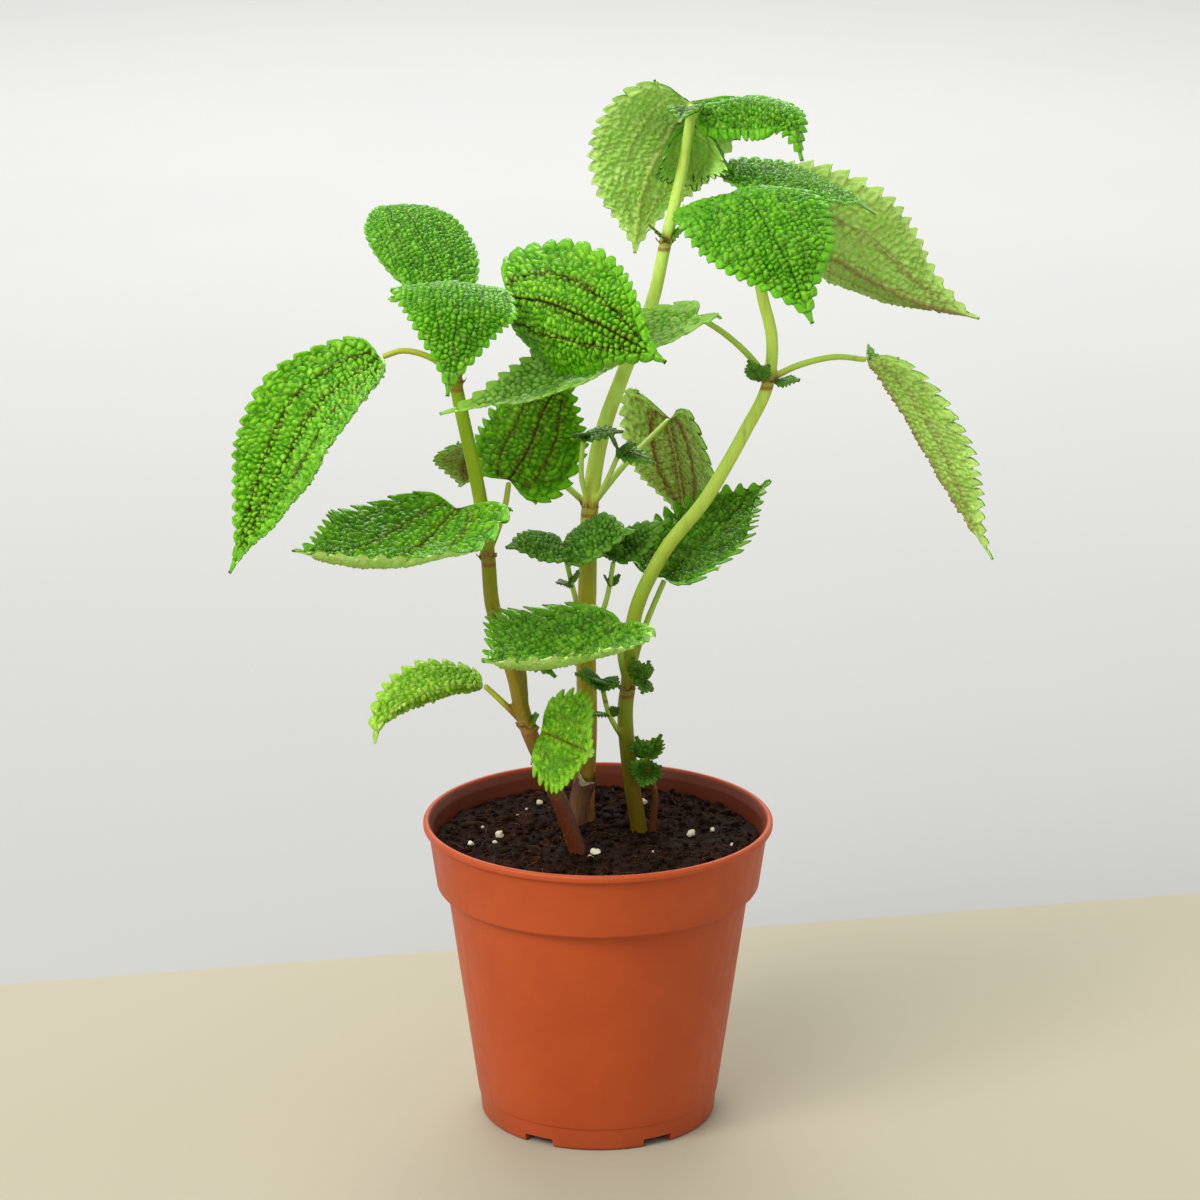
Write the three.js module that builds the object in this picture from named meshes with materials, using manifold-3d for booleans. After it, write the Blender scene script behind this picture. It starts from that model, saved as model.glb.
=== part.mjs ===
// A potted pilea: three leafy stems and a thin young one in a plastic nursery pot.
// Millimetres, +Z up. The origin is the middle of the pot's base, on the ground.
// +X is to the right and -Y is to the front.
import * as THREE from "three";
import { mergeVertices } from "three/addons/utils/BufferGeometryUtils.js";
import Module from "manifold-3d";

const wasm = await Module();
wasm.setup();

// Pot
const potHeight = 93;
const rimRadius = 52.5;
const bandBottomRadius = 48.5;
const bandTopRadius = 50.9;
const bandBottom = 72.4;
const bodyTopRadius = 45.4;
const bodyBottomRadius = 36.5;
const footHeight = 7;
const footRadius = 35.6;
const footRingInner = 32.8;
const wall = 1.4;
const floorUnderside = 2.6;
const floorTop = 4;
const gatePadRadius = 8;
const potSides = 30;
const notchWidth = 9.5;
const notchHeight = 2.6;
const notchCount = 6;
const drainRadius = 3.2;
const drainRing = 22;
const drainCount = 6;

// Soil
const soilTop = 86.6;
const soilUnevenness = 1.1;
const soilSides = 26;
const fit = 0.3;

// Leaves
const bladeThickness = 0.7;
const blisterHeight = 0.45;
const petioleRadius = 1.05;
const petioleGap = 1.3;
const twigRadius = 0.95;
const stemSides = 8;

const plasticOrange = new THREE.MeshStandardMaterial({ color: 0xb2502c, roughness: 0.5, metalness: 0 });
const soilBrown = new THREE.MeshStandardMaterial({ color: 0x2e1c14, roughness: 1, metalness: 0 });
const stemGreen = new THREE.MeshStandardMaterial({ color: 0x7f9a24, roughness: 0.45, metalness: 0 });
const leafGreen = new THREE.MeshStandardMaterial({ color: 0x3fa51a, roughness: 0.5, metalness: 0 });
const shootGreen = new THREE.MeshStandardMaterial({ color: 0x2c6b1e, roughness: 0.6, metalness: 0 });

const plant = new THREE.Group();

function addPart(name, geometry, material) {
  geometry.computeVertexNormals();
  const mesh = new THREE.Mesh(geometry, material);
  mesh.name = name;
  plant.add(mesh);
}

// ---- Solids ----

function toSolid(geometry) {
  const bare = geometry.clone();
  bare.deleteAttribute("normal");
  bare.deleteAttribute("uv");
  const merged = mergeVertices(bare, 1e-4);
  return new wasm.Manifold(
    new wasm.Mesh({
      numProp: 3,
      vertProperties: new Float32Array(merged.attributes.position.array),
      triVerts: new Uint32Array(merged.index.array),
    }),
  );
}

function toGeometry(solid) {
  const mesh = solid.getMesh();
  const geometry = new THREE.BufferGeometry();
  geometry.setAttribute("position", new THREE.BufferAttribute(mesh.vertProperties, 3));
  geometry.setIndex(new THREE.BufferAttribute(mesh.triVerts, 1));
  return geometry;
}

// The solids joined in one body, without the scraps that a joint may leave.
function union(solids) {
  return mainBody(solids.reduce((joined, next) => joined.add(next)));
}

function mainBody(solid) {
  return solid.decompose().reduce((largest, body) => (body.volume() > largest.volume() ? body : largest));
}

function lathe(profile, sides) {
  const points = profile.map(([radius, z]) => new THREE.Vector2(radius, z));
  return new THREE.LatheGeometry(points, sides).rotateX(Math.PI / 2);
}

const vector = ([x, y, z]) => new THREE.Vector3(x, y, z);

// A round limb through the given points: a closed cylinder bent along their curve.
function limb(points, startRadius, endRadius, sides, steps, margin = 0) {
  const curve = new THREE.CatmullRomCurve3(points.map(vector));
  const frames = curve.computeFrenetFrames(steps);
  const geometry = new THREE.CylinderGeometry(1, 1, 1, sides, steps);
  const position = geometry.attributes.position;
  for (let i = 0; i < position.count; i++) {
    const along = position.getY(i) + 0.5;
    const step = Math.round(along * steps);
    const radius = startRadius + (endRadius - startRadius) * along + margin;
    const place = curve
      .getPointAt(along)
      .addScaledVector(frames.normals[step], position.getZ(i) * radius)
      .addScaledVector(frames.binormals[step], position.getX(i) * radius);
    position.setXYZ(i, place.x, place.y, place.z);
  }
  return toSolid(geometry);
}

function knob(place, radius, stretch = 1) {
  const ball = new THREE.SphereGeometry(radius, 6, 4).rotateX(Math.PI / 2).scale(1, 1, stretch);
  return toSolid(ball.translate(...place));
}

// ---- Leaf blades ----

const fine = [-1, -0.5, 0, 0.5, 1];
const coarse = [-1, 0, 1];

// Half-width along the blade, as a share of the widest: round base, drawn-out tip.
function outline(s, belly) {
  return Math.sin(Math.PI * s ** belly) ** (0.6 + 0.65 * s);
}

const plainLeaf = {
  left: [0, 0],
  right: [0, 0],
  teeth: 10,
  belly: 0.57,
  lobe: 0.2,
  openBase: 0,
  tooth: 1,
  across: fine,
};

// A blade from its base to its tip. Each leaf gives its spine's points, the way its upper face looks
// (once, or at the base and at the tip), its width, the tilt of its left and right half (at the midrib
// and at the edge) and its teeth. lobe is how far the base reaches back past the petiole, for both
// halves or for each, and openBase is how far the halves lie flat there.
// Teeth are rows that stand out at the edge. Between them the blade bulges up, and under them it is sunk.
function blade(leaf) {
  const { spine, face, width, left, right, teeth, belly, lobe, openBase, tooth, across } = {
    ...plainLeaf,
    ...leaf,
  };
  const curve = new THREE.CatmullRomCurve3(spine.map(vector));
  const length = curve.getLength();
  const rows = teeth * 2;
  const start = Array.isArray(face[0]) ? vector(face[0]) : vector(face);
  const end = Array.isArray(face[0]) ? vector(face[1]) : start;
  const [leftLobe, rightLobe] = Array.isArray(lobe) ? lobe : [lobe, lobe];

  function surfacePoint(s, side, bulge) {
    const share = Math.abs(side);
    const edge = outline(s, belly);
    const reach = side < 0 ? leftLobe : rightLobe;
    const sweep = 0.07 * Math.sin(Math.PI * s) - reach * (1 - s) ** 6;
    const isTooth = bulge < 0 ? 1 : -1;
    const toothStep = isTooth * tooth * edge ** 0.3 * share ** 3;
    const half = Math.max((width / 2) * edge + toothStep, 0.55) * share;
    const along = s + (share * edge) ** 1.3 * sweep + (toothStep > 0 ? (0.35 * toothStep) / length : 0);
    const inside = THREE.MathUtils.clamp(along, 0, 1);
    const forward = curve.getTangentAt(inside);
    const up = start.clone().lerp(end, inside);
    up.addScaledVector(forward, -up.dot(forward)).normalize();
    const toRight = new THREE.Vector3().crossVectors(forward, up);
    const [inner, outer] = side < 0 ? left : right;
    const folded = 1 - openBase * Math.max(0, 1 - 2.5 * s);
    const tilt = folded * (inner + ((outer - inner) * share) / 2);
    const relief = share === 0 ? -0.4 * edge : bulge * (share < 1 ? 1 : 0.3) * edge;
    return curve
      .getPointAt(inside)
      .addScaledVector(forward, (along - inside) * length)
      .addScaledVector(toRight, Math.sign(side) * half * Math.cos(tilt))
      .addScaledVector(up, half * Math.sin(tilt) + relief);
  }

  const grid = [];
  for (let row = 0; row <= rows; row++) {
    const s = (row / rows) ** 1.1;
    const bulge = row % 2 ? -blisterHeight : blisterHeight;
    grid.push(across.map((side) => surfacePoint(s, side, bulge)));
  }
  return sheet(grid, bladeThickness);
}

// A closed sheet of even thickness over a grid of points, with the same triangles on both faces.
function sheet(grid, thickness) {
  const rows = grid.length;
  const columns = grid[0].length;
  const at = (row, column) =>
    grid[Math.min(Math.max(row, 0), rows - 1)][Math.min(Math.max(column, 0), columns - 1)];
  const places = [];
  for (const side of [0.5, -0.5]) {
    for (let row = 0; row < rows; row++) {
      for (let column = 0; column < columns; column++) {
        const lengthwise = at(row + 1, column).clone().sub(at(row - 1, column));
        const crosswise = at(row, column + 1).clone().sub(at(row, column - 1));
        const normal = new THREE.Vector3().crossVectors(crosswise, lengthwise).normalize();
        const place = at(row, column).clone().addScaledVector(normal, side * thickness);
        places.push(place.x, place.y, place.z);
      }
    }
  }
  const top = (row, column) => row * columns + column;
  const under = (row, column) => rows * columns + top(row, column);
  const faces = [];
  const quad = (a, b, c, d) => faces.push(a, b, c, a, c, d);
  for (let row = 0; row < rows - 1; row++) {
    for (let column = 0; column < columns - 1; column++) {
      const [a, b] = [top(row, column), top(row, column + 1)];
      const [c, d] = [top(row + 1, column + 1), top(row + 1, column)];
      quad(a, b, c, d);
      const shift = rows * columns;
      faces.push(a + shift, c + shift, b + shift, a + shift, d + shift, c + shift);
    }
    quad(top(row, 0), top(row + 1, 0), under(row + 1, 0), under(row, 0));
    const last = columns - 1;
    quad(top(row + 1, last), top(row, last), under(row, last), under(row + 1, last));
  }
  for (let column = 0; column < columns - 1; column++) {
    quad(top(0, column + 1), top(0, column), under(0, column), under(0, column + 1));
    const last = rows - 1;
    quad(top(last, column), top(last, column + 1), under(last, column + 1), under(last, column));
  }
  const geometry = new THREE.BufferGeometry();
  geometry.setAttribute("position", new THREE.BufferAttribute(new Float32Array(places), 3));
  geometry.setIndex(faces);
  return geometry;
}

const leaves = {
  // Left stem, from the lowest pair up
  a1: {
    spine: [[-34, -13, 139], [-44, -19, 140], [-55, -23, 137], [-63, -26, 131], [-65, -27, 125]],
    face: [0, -0.6, 0.8], width: 25, left: [-1.2, -3.2], right: [-0.1, -0.3], teeth: 7, belly: 0.7,
  },
  a2: {
    spine: [[-16.5, -15.5, 125], [-8.7, -26.2, 125], [-1, -37, 125]],
    face: [-0.5, -0.75, 0.3], width: 30, left: [0, -0.5], right: [0.1, -0.3], teeth: 7, lobe: 0.3,
  },
  a3: {
    spine: [[-41, -16, 193], [-51, -26, 185], [-63, -40, 183], [-85, -62, 193]],
    face: [0.1, -0.1, 1], width: 47, left: [0.2, 0.7], right: [0.15, 0.6], teeth: 9, lobe: [0.35, 0.1],
    openBase: 1,
  },
  a4: {
    spine: [[-26, 2, 197], [-21, 8, 204], [-16, 14, 215], [-8, 19, 229]],
    face: [-0.1, -0.85, 0.45], width: 32, left: [0, -0.3], right: [-0.1, -0.6], teeth: 8,
  },
  a5: {
    spine: [[-63, -8, 236], [-80, -20, 225], [-92, -26, 205], [-106, -28, 177]],
    face: [-0.6, -0.65, 0.45], width: 43, left: [0.2, 0.4], right: [0, 0.2], teeth: 10, belly: 0.63,
    lobe: [-0.15, 0.15],
  },
  a6: {
    spine: [[-26, -9, 254], [-14.5, -23, 255.5], [0, -36, 252], [19, -45, 243]],
    face: [0.1, -0.93, 0.45], width: 42, left: [0, -0.3], right: [-0.2, -1.7], teeth: 9, lobe: [0.5, 0.05],
  },
  a7: {
    spine: [[-44, -3, 256], [-49.5, 8, 265], [-55, 19, 272], [-60, 28, 273.5], [-64, 33, 269]],
    face: [0.22, -0.33, 0.91], width: 32.5, left: [0, -0.3], right: [0, -0.2], teeth: 9, belly: 0.7,
  },
  a8: {
    spine: [[-45, -13, 258], [-40, -28, 262], [-39, -42, 257], [-42, -48, 234]],
    face: [0.25, -0.65, 0.7], width: 36, left: [-0.1, -0.3], right: [-0.1, -0.4], teeth: 9,
    lobe: [0.2, 0.35],
  },
  // Centre stem
  b1: {
    spine: [[-25, 26, 200], [-30.5, 31, 199.5], [-42, 40, 185]],
    face: [-0.5, 0.65, 0.55], width: 40, left: [0, 0], right: [0, 0], teeth: 7,
  },
  b2: {
    spine: [[21.8, 45, 205], [25, 50, 189], [28, 56, 168]],
    face: [0.58, 0.73, 0.36], width: 41, left: [0, 0], right: [-0.3, -0.5],
    teeth: 9, belly: 0.62, lobe: 0.7,
  },
  b3: {
    spine: [[49.5, 38, 267], [69, 46, 255], [92, 54, 241], [116, 58, 233]],
    face: [-0.3, 0.93, -0.1], width: 50, left: [1.3, 1.5], right: [0, 0.1], teeth: 10,
  },
  b4: {
    spine: [[26.5, 13.8, 306.5], [20, 26, 294], [13, 34, 276], [11, 40, 257]],
    face: [-0.15, 0.88, 0.45], width: 41, left: [0.1, 0.1], right: [0.1, 0], teeth: 9, lobe: 0.3,
  },
  b5: {
    spine: [[30.5, 7, 306.5], [43, 0, 309], [54, -8, 306], [58, -12, 294]],
    face: [0.1, -0.25, 0.95], width: 21, left: [-0.1, -0.4], right: [-0.4, -1.6], teeth: 9,
  },
  b6: {
    spine: [[27.3, 15, 300], [27.2, 20, 291], [28.4, 22, 279]],
    face: [0, 0.8, 0.5], width: 34, left: [-0.2, -1.7], right: [-0.2, -1.7], teeth: 6,
  },
  b7: {
    spine: [[25.5, 6.5, 306], [24.5, 0, 307], [23, -8, 304]],
    face: [0, 0, 1], width: 10, left: [0.2, 0], right: [0.2, 0], teeth: 4, tooth: 0.4,
  },
  // Right stem
  c1: {
    spine: [[20, 6, 166], [30, 16, 173], [41, 26, 181], [52, 32, 189]],
    face: [-0.3, -0.7, 0.65], width: 32, left: [0.1, 0], right: [0.3, 0.5], teeth: 9,
  },
  c2: {
    spine: [[7, -8, 156], [-5, -22, 152], [-17, -36, 151.5], [-32.5, -55, 158.5]],
    face: [0.1, -0.1, 1], width: 44, left: [0.25, 0.8], right: [0.25, 0.5],
    teeth: 9, belly: 0.74, lobe: 0.25, openBase: 0.7,
  },
  c3: {
    spine: [[28.5, -6.5, 248], [13, -12, 242], [-12, -20, 231], [-45, -28, 224]],
    face: [[0, 0, 1], [-0.3, -0.45, 0.85]], width: 34, left: [0.2, 0.5], right: [0.3, 0.5],
    teeth: 9, openBase: 1,
  },
  c4: {
    spine: [[79, 2, 233], [90, 6, 216], [102, 8, 195], [117, 8, 171]],
    face: [0.82, 0.25, 0.5], width: 36, left: [0.3, 0.4], right: [0.45, 0.6], teeth: 10, lobe: 0.08,
  },
  c5: {
    spine: [[38, -3, 283], [43, -16, 283], [52, -32, 271], [60, -40, 253]],
    face: [0.2, -0.8, 0.6], width: 42, left: [0.2, -0.5], right: [-0.1, -0.3], teeth: 10, lobe: [0.2, 0.4],
  },
  c6: {
    spine: [[44.5, 6, 282], [56, 20, 283.5], [70, 29, 278.5], [82, 34, 270]],
    face: [0.1, -0.1, 1], width: 36, left: [0.05, 0], right: [0, -0.3], teeth: 10, lobe: 0.05,
  },
};

for (const [name, leaf] of Object.entries(leaves)) {
  addPart("leaf_" + name, blade(leaf), leafGreen);
}

// ---- Stems ----

// The last point of a petiole, drawn back so that it ends just clear of what it carries.
function shortened(points, gap) {
  const end = vector(points.at(-1));
  const back = vector(points.at(-2)).sub(end).setLength(gap);
  return [...points.slice(0, -1), end.add(back).toArray()];
}

const smallLeaf = {
  left: [0.1, -0.5],
  right: [0.1, -0.5],
  tooth: 0.35,
  lobe: 0.05,
  across: coarse,
};

// A small arched leaf of a side shoot, from its root to its tip.
function leaflet([root, tip, face, width]) {
  const middle = vector(root).lerp(vector(tip), 0.5).addScaledVector(vector(face), width * 0.12);
  const spine = [root, middle.toArray(), tip];
  const teeth = width > 8 ? 3 : 2;
  return toSolid(blade({ ...smallLeaf, spine, face, width, teeth }));
}

const stems = {
  a: {
    route: [
      [-3, -13, 73], [-6, -13, 86.5], [-14, -13, 109], [-21.5, -12, 127], [-24.5, -11, 140],
      [-27.5, -10.5, 150], [-31, -10, 162], [-32.3, -10, 178], [-34.5, -9.5, 195], [-41, -9, 228],
      [-44.8, -8, 252],
    ],
    radii: [2.7, 1.8],
    steps: 15,
    knots: [[-21, -12, 125.5], [-32.3, -10, 177], [-41.2, -9, 229]],
    petioles: [
      [[-21, -12, 125.5], [-28, -12.5, 133], [-34, -13, 139]],
      [[-21, -12, 125.5], [-19, -13.5, 126], [-17, -15, 125]],
      [[-32.3, -10, 177], [-37, -8.5, 188], [-41, -16, 193]],
      [[-32.3, -10, 177], [-27.5, -3, 189], [-26, 2, 197]],
      [[-41.2, -9, 229], [-47, -9, 235.5], [-56, -8, 238], [-63, -8, 236]],
      [[-41.2, -9, 229], [-34, -8, 243], [-26.6, -9, 253.2]],
      [[-44.8, -8, 250], [-44.5, -5, 254], [-44, -3, 256]],
      [[-44.8, -8, 250], [-45, -10.5, 255], [-45, -13, 258]],
    ],
    twigs: [
      [[-21, -12, 126], [-22, -10, 143], [-23.2, -10, 148]],
    ],
    leaflets: [
      [[-20, -12, 126], [-17.5, -17, 130.5], [0.6, -0.6, 0.5], 4],
    ],
  },
  b: {
    route: [
      [-4.5, 15, 73], [-4.6, 15, 90], [-3.4, 15, 120], [-3.6, 14, 141], [-3, 13, 166],
      [-2.4, 12, 184.5], [0.9, 11, 207], [7.9, 10, 228], [15.8, 10, 248], [19.5, 10, 265],
      [24.3, 10, 287], [27, 10, 304],
    ],
    radii: [3.5, 1.5],
    steps: 16,
    knots: [[-2.3, 12, 186], [19.8, 10, 266.5]],
    petioles: [
      [[-2.3, 12, 186], [-12, 18, 193], [-25, 26, 200]],
      [[-2.3, 12, 186], [8, 24, 196], [21.8, 45, 205]],
      [[19.8, 10, 266.5], [27, 15, 271], [38, 25, 271], [50, 38.5, 266.8]],
      [[27, 10, 302], [27.2, 12, 304.5], [26.5, 13.8, 306.5]],
      [[27, 10, 302], [28.5, 8.5, 304.5], [30.5, 7, 306.5]],
      [[26.7, 10, 299], [27.3, 12.5, 300.5], [27.3, 15, 300]],
      [[27, 10, 302], [26.3, 8.5, 304.5], [25.5, 6.5, 306]],
    ],
    twigs: [
      [[-2.5, 11, 186], [-4.9, 7, 197], [-4.4, 5, 208]],
      [[-1.8, 11, 186], [3, 4, 197], [5.9, 1, 204.7]],
      [[-4.5, 12, 149], [-7.7, 6, 163.7], [-10, 2, 175.5]],
      [[-1, 12, 147], [2.7, 5, 160.2], [4.6, 4, 171.5]],
    ],
    leaflets: [
      [[-7.8, 6, 164], [-12.3, 3, 165.2], [-0.3, -0.4, 0.8], 4],
      [[-7.8, 6, 164], [-6, 3, 169], [0.6, -0.7, 0.3], 3.5],
      [[3.4, 5, 164], [1.8, 2.5, 167.5], [-0.6, -0.5, 0.5], 3],
      [[3.4, 5, 164], [6.4, 4, 167.5], [0.6, -0.5, 0.5], 3],
      [[19.8, 10, 267], [15, 6, 272], [-0.4, -0.4, 0.7], 5],
      [[19.8, 10, 267], [25.2, 6.5, 271], [0.4, -0.5, 0.7], 4.5],
    ],
  },
  c: {
    route: [
      [13.4, 4, 73], [12.4, 4, 86], [9.6, 2, 106], [8, 0, 126], [8.9, 0, 135], [11.2, 0, 157.7],
      [19.7, 0, 176], [31.4, 0, 191.4], [42.9, 0, 212], [49.2, 0, 225.4], [50.6, 1, 239],
      [47.5, 2, 253], [43.5, 1.5, 279],
    ],
    radii: [2.6, 1.6],
    steps: 18,
    knots: [[8.7, 0, 133.5], [49.6, 0, 227.5]],
    petioles: [
      [[8.7, 0, 133.5], [13.5, 4, 150], [20, 6, 166]],
      [[8.7, 0, 133.5], [6.5, -4, 146], [7, -8, 156]],
      [[49.6, 0, 227.5], [43.5, -2, 235.5], [36.5, -4.5, 242.3], [28.5, -6.5, 248]],
      [[49.6, 0, 227.5], [58, 1, 231.5], [69, 1.5, 234], [79, 2, 233]],
      [[43.5, 1.5, 276], [41, -0.5, 281], [38, -3, 283]],
      [[43.5, 1.5, 276], [44.5, 3.5, 281], [44.5, 6, 282]],
    ],
    twigs: [
      [[9, 1, 115], [3.3, -5, 127], [1.2, -6, 136]],
    ],
    leaflets: [
      [[3.3, -5, 127], [-2.1, -8, 127.6], [-0.2, -0.3, 0.9], 2.6],
      [[3.5, -5, 127], [6.2, -8.5, 130], [0.3, -0.8, 0.4], 3],
    ],
  },
  d: {
    route: [[16.8, 6, 73], [16.4, 6, 86.3], [17, 3.5, 99], [15, 1, 107], [14.4, -1, 113]],
    radii: [1.3, 0.9],
    steps: 6,
    knots: [],
    petioles: [],
    twigs: [],
    leaflets: [
      [[14.8, 1, 107], [9.3, -6, 112.5], [-0.2, -0.9, 0.3], 6],
      [[14.8, 1, 107], [13, -6.5, 104.5], [-0.1, -0.9, 0.2], 6.5],
      [[14.8, 1, 107], [19, -3, 110], [0.4, -0.8, 0.3], 6.5],
      [[14.2, -1, 112], [18.8, -4.5, 120.5], [0.4, -0.8, 0.3], 7.5],
      [[14.2, -1, 112], [11.4, -5, 120], [-0.2, -0.9, 0.3], 7],
    ],
  },
};

// The old stem that was cut off beside the centre stem's foot, with its oval cut face.
const cutStub = {
  route: [[-7.2, 14, 73], [-6.4, 13.5, 86], [-4.8, 12.5, 96.5], [-2.6, 11, 102.5]],
  radii: [3.6, 3.1],
  steps: 5,
};

function stalk({ route, radii, steps }, margin = 0) {
  return limb(route, ...radii, stemSides, steps, margin);
}

function petiole(points) {
  return limb(shortened(points, petioleGap), petioleRadius * 1.15, petioleRadius * 0.9, 5, 3);
}

function makeStem(stem) {
  return union([
    stalk(stem),
    ...stem.knots.map((place) => knob(place, stem.radii[1] * 1.4, 0.8)),
    ...stem.petioles.map(petiole),
    ...stem.twigs.map((points) => limb(points, twigRadius, twigRadius * 0.85, 5, 4)),
    ...stem.leaflets.map(leaflet),
  ]);
}

for (const [name, stem] of Object.entries(stems)) {
  const solid = makeStem(stem);
  const whole = name === "b" ? solid.add(stalk(cutStub)) : solid;
  addPart("stem_" + name, toGeometry(whole), stemGreen);
}

// ---- Side shoots ----

// Each shoot is a tuft: a small bud with its leaves rooted in it, just above its twig's end.
const shoots = {
  b_left: {
    bud: [-4.4, 5, 209.4],
    leaflets: [
      [[-4.4, 5, 209.4], [7.3, 0, 212], [0, -0.4, 0.9], 6.5],
      [[-4.4, 5, 209.4], [-6.5, -2, 211.5], [-0.3, -0.5, 0.8], 5],
    ],
  },
  b_right: {
    bud: [6.1, 0.8, 206],
    leaflets: [
      [[6.1, 0.8, 206], [3.6, -4, 211.5], [-0.5, -0.6, 0.6], 5],
      [[6.1, 0.8, 206], [11, -3, 209], [0.2, -0.6, 0.8], 4.5],
      [[6.1, 0.8, 206], [16.5, -4.5, 203.5], [0.2, -0.5, 0.8], 6.5],
    ],
  },
  b_low_left: {
    bud: [-10.2, 1.8, 176.8],
    leaflets: [
      [[-10.2, 1.8, 176.8], [11, -4, 183], [-0.15, -0.5, 0.85], 19],
      [[-10.2, 1.8, 176.8], [-27, -6, 178.5], [-0.1, -0.45, 0.9], 16],
    ],
  },
  b_low_right: {
    bud: [4.8, 4, 172.9],
    leaflets: [
      [[4.8, 4, 172.9], [-0.5, -1, 175.5], [-0.3, -0.5, 0.8], 5],
      [[4.8, 4, 172.9], [21.5, 7.5, 183.5], [-0.3, -0.7, 0.7], 10],
      [[4.8, 4, 172.9], [5, 0, 179], [0, -0.9, 0.4], 4.5],
    ],
  },
  c_low_left: {
    bud: [1.1, -6, 137.4],
    leaflets: [
      [[1.1, -6, 137.4], [-6.7, -10, 141], [-0.3, -0.5, 0.8], 7.5],
      [[1.1, -6, 137.4], [6.6, -10, 137], [0.3, -0.7, 0.7], 6.5],
      [[1.1, -6, 137.4], [-1, -12, 139.5], [0, -0.5, 0.8], 5],
    ],
  },
  c_node: {
    bud: [13.8, -2.6, 137],
    leaflets: [
      [[13.8, -2.6, 137], [13, -7, 134], [0.3, -0.9, 0.3], 6],
      [[13.8, -2.6, 137], [10.2, -5, 144.5], [-0.3, -0.9, 0.2], 6],
      [[13.8, -2.6, 137], [15, -3, 143], [0.5, -0.8, 0.2], 4],
    ],
  },
  c_high_left: {
    bud: [46.7, -3, 228.5],
    leaflets: [
      [[46.7, -3, 228.5], [43.6, -5.5, 234.6], [-0.4, -0.7, 0.5], 5],
      [[46.7, -3, 228.5], [49.5, -7, 233.5], [0.2, -0.8, 0.5], 4],
    ],
  },
  c_high_right: {
    bud: [52.1, -2.6, 227.5],
    leaflets: [[[52.1, -2.6, 227.5], [58.4, -6, 228.8], [0.3, -0.6, 0.7], 4]],
  },
  a_low: {
    bud: [-22.9, -10.8, 149.4],
    leaflets: [
      [[-22.9, -10.8, 149.4], [-12.4, -18, 142.5], [0.4, -0.6, 0.6], 8],
      [[-22.9, -10.8, 149.4], [-23, -14, 154], [0, -0.8, 0.5], 5],
    ],
  },
};

for (const [name, { bud, leaflets }] of Object.entries(shoots)) {
  const tuft = union([knob(bud, 0.9), ...leaflets.map(leaflet)]);
  addPart("shoot_" + name, toGeometry(tuft), shootGreen);
}

// ---- Pot ----

const potProfile = [
  [0, 0],
  [gatePadRadius, 0],
  [gatePadRadius, floorUnderside],
  [footRingInner, floorUnderside],
  [footRingInner, 0],
  [footRadius - 0.6, 0],
  [footRadius, 0.7],
  [bodyBottomRadius - 0.4, footHeight],
  [bodyBottomRadius, footHeight],
  [bodyTopRadius, bandBottom - 1.2],
  [bodyTopRadius + 0.6, bandBottom],
  [bandBottomRadius - 0.5, bandBottom],
  [bandBottomRadius, bandBottom + 0.6],
  [bandTopRadius, potHeight - 3],
  [rimRadius, potHeight - 2],
  [rimRadius, potHeight - 0.6],
  [rimRadius - 0.6, potHeight],
  [rimRadius - 1.5, potHeight],
  [bandTopRadius - wall, potHeight - 3],
  [bandBottomRadius - wall, bandBottom + 1.5],
  [bodyTopRadius - wall, bandBottom - 2],
  [bodyBottomRadius - wall - 0.4, floorTop],
  [0, floorTop],
];

function makePot() {
  let pot = toSolid(lathe(potProfile, potSides));
  for (let i = 0; i < notchCount; i++) {
    const notch = new THREE.BoxGeometry(notchWidth, 8, 2 * notchHeight);
    notch.translate(0, -footRadius, 0).rotateZ(((i + 0.5) * 2 * Math.PI) / notchCount);
    pot = pot.subtract(toSolid(notch));
  }
  for (let i = 0; i < drainCount; i++) {
    const hole = new THREE.CylinderGeometry(drainRadius, drainRadius, 12, 10).rotateX(Math.PI / 2);
    hole.translate(0, -drainRing, 0).rotateZ((i * 2 * Math.PI) / drainCount);
    pot = pot.subtract(toSolid(hole));
  }
  return toGeometry(pot);
}
addPart("pot", makePot(), plasticOrange);

// ---- Soil ----

// Height of the soil's lumpy top above its mean, from a few crossed waves.
function lumps(x, y) {
  const broad = Math.sin(0.13 * x + 1) * Math.cos(0.11 * y - 0.4);
  const middle = Math.sin(0.37 * x - 0.21 * y) * Math.cos(0.33 * y + 0.17 * x + 2);
  const small = Math.sin(0.9 * x + 0.4 * y) * Math.cos(0.8 * y - 0.5 * x + 1);
  return soilUnevenness * (0.5 * broad + 0.6 * middle + 0.5 * small);
}

// White grains of perlite on the soil: place and size.
const perliteGrains = [
  [-0.6, -14, 1.5], [-2.2, -18, 1], [28, 2, 1.5], [-29.5, 0, 1.3], [-38, -8, 1.1], [7, 8, 1.1],
  [42.5, -3, 1.2], [34.5, 5, 0.9], [-12.5, -26, 1], [20, -24, 1.1], [-18, 27, 1.1], [14, 31, 1],
];

const topRings = [43, 34, 25, 16, 7, 0];

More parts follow.
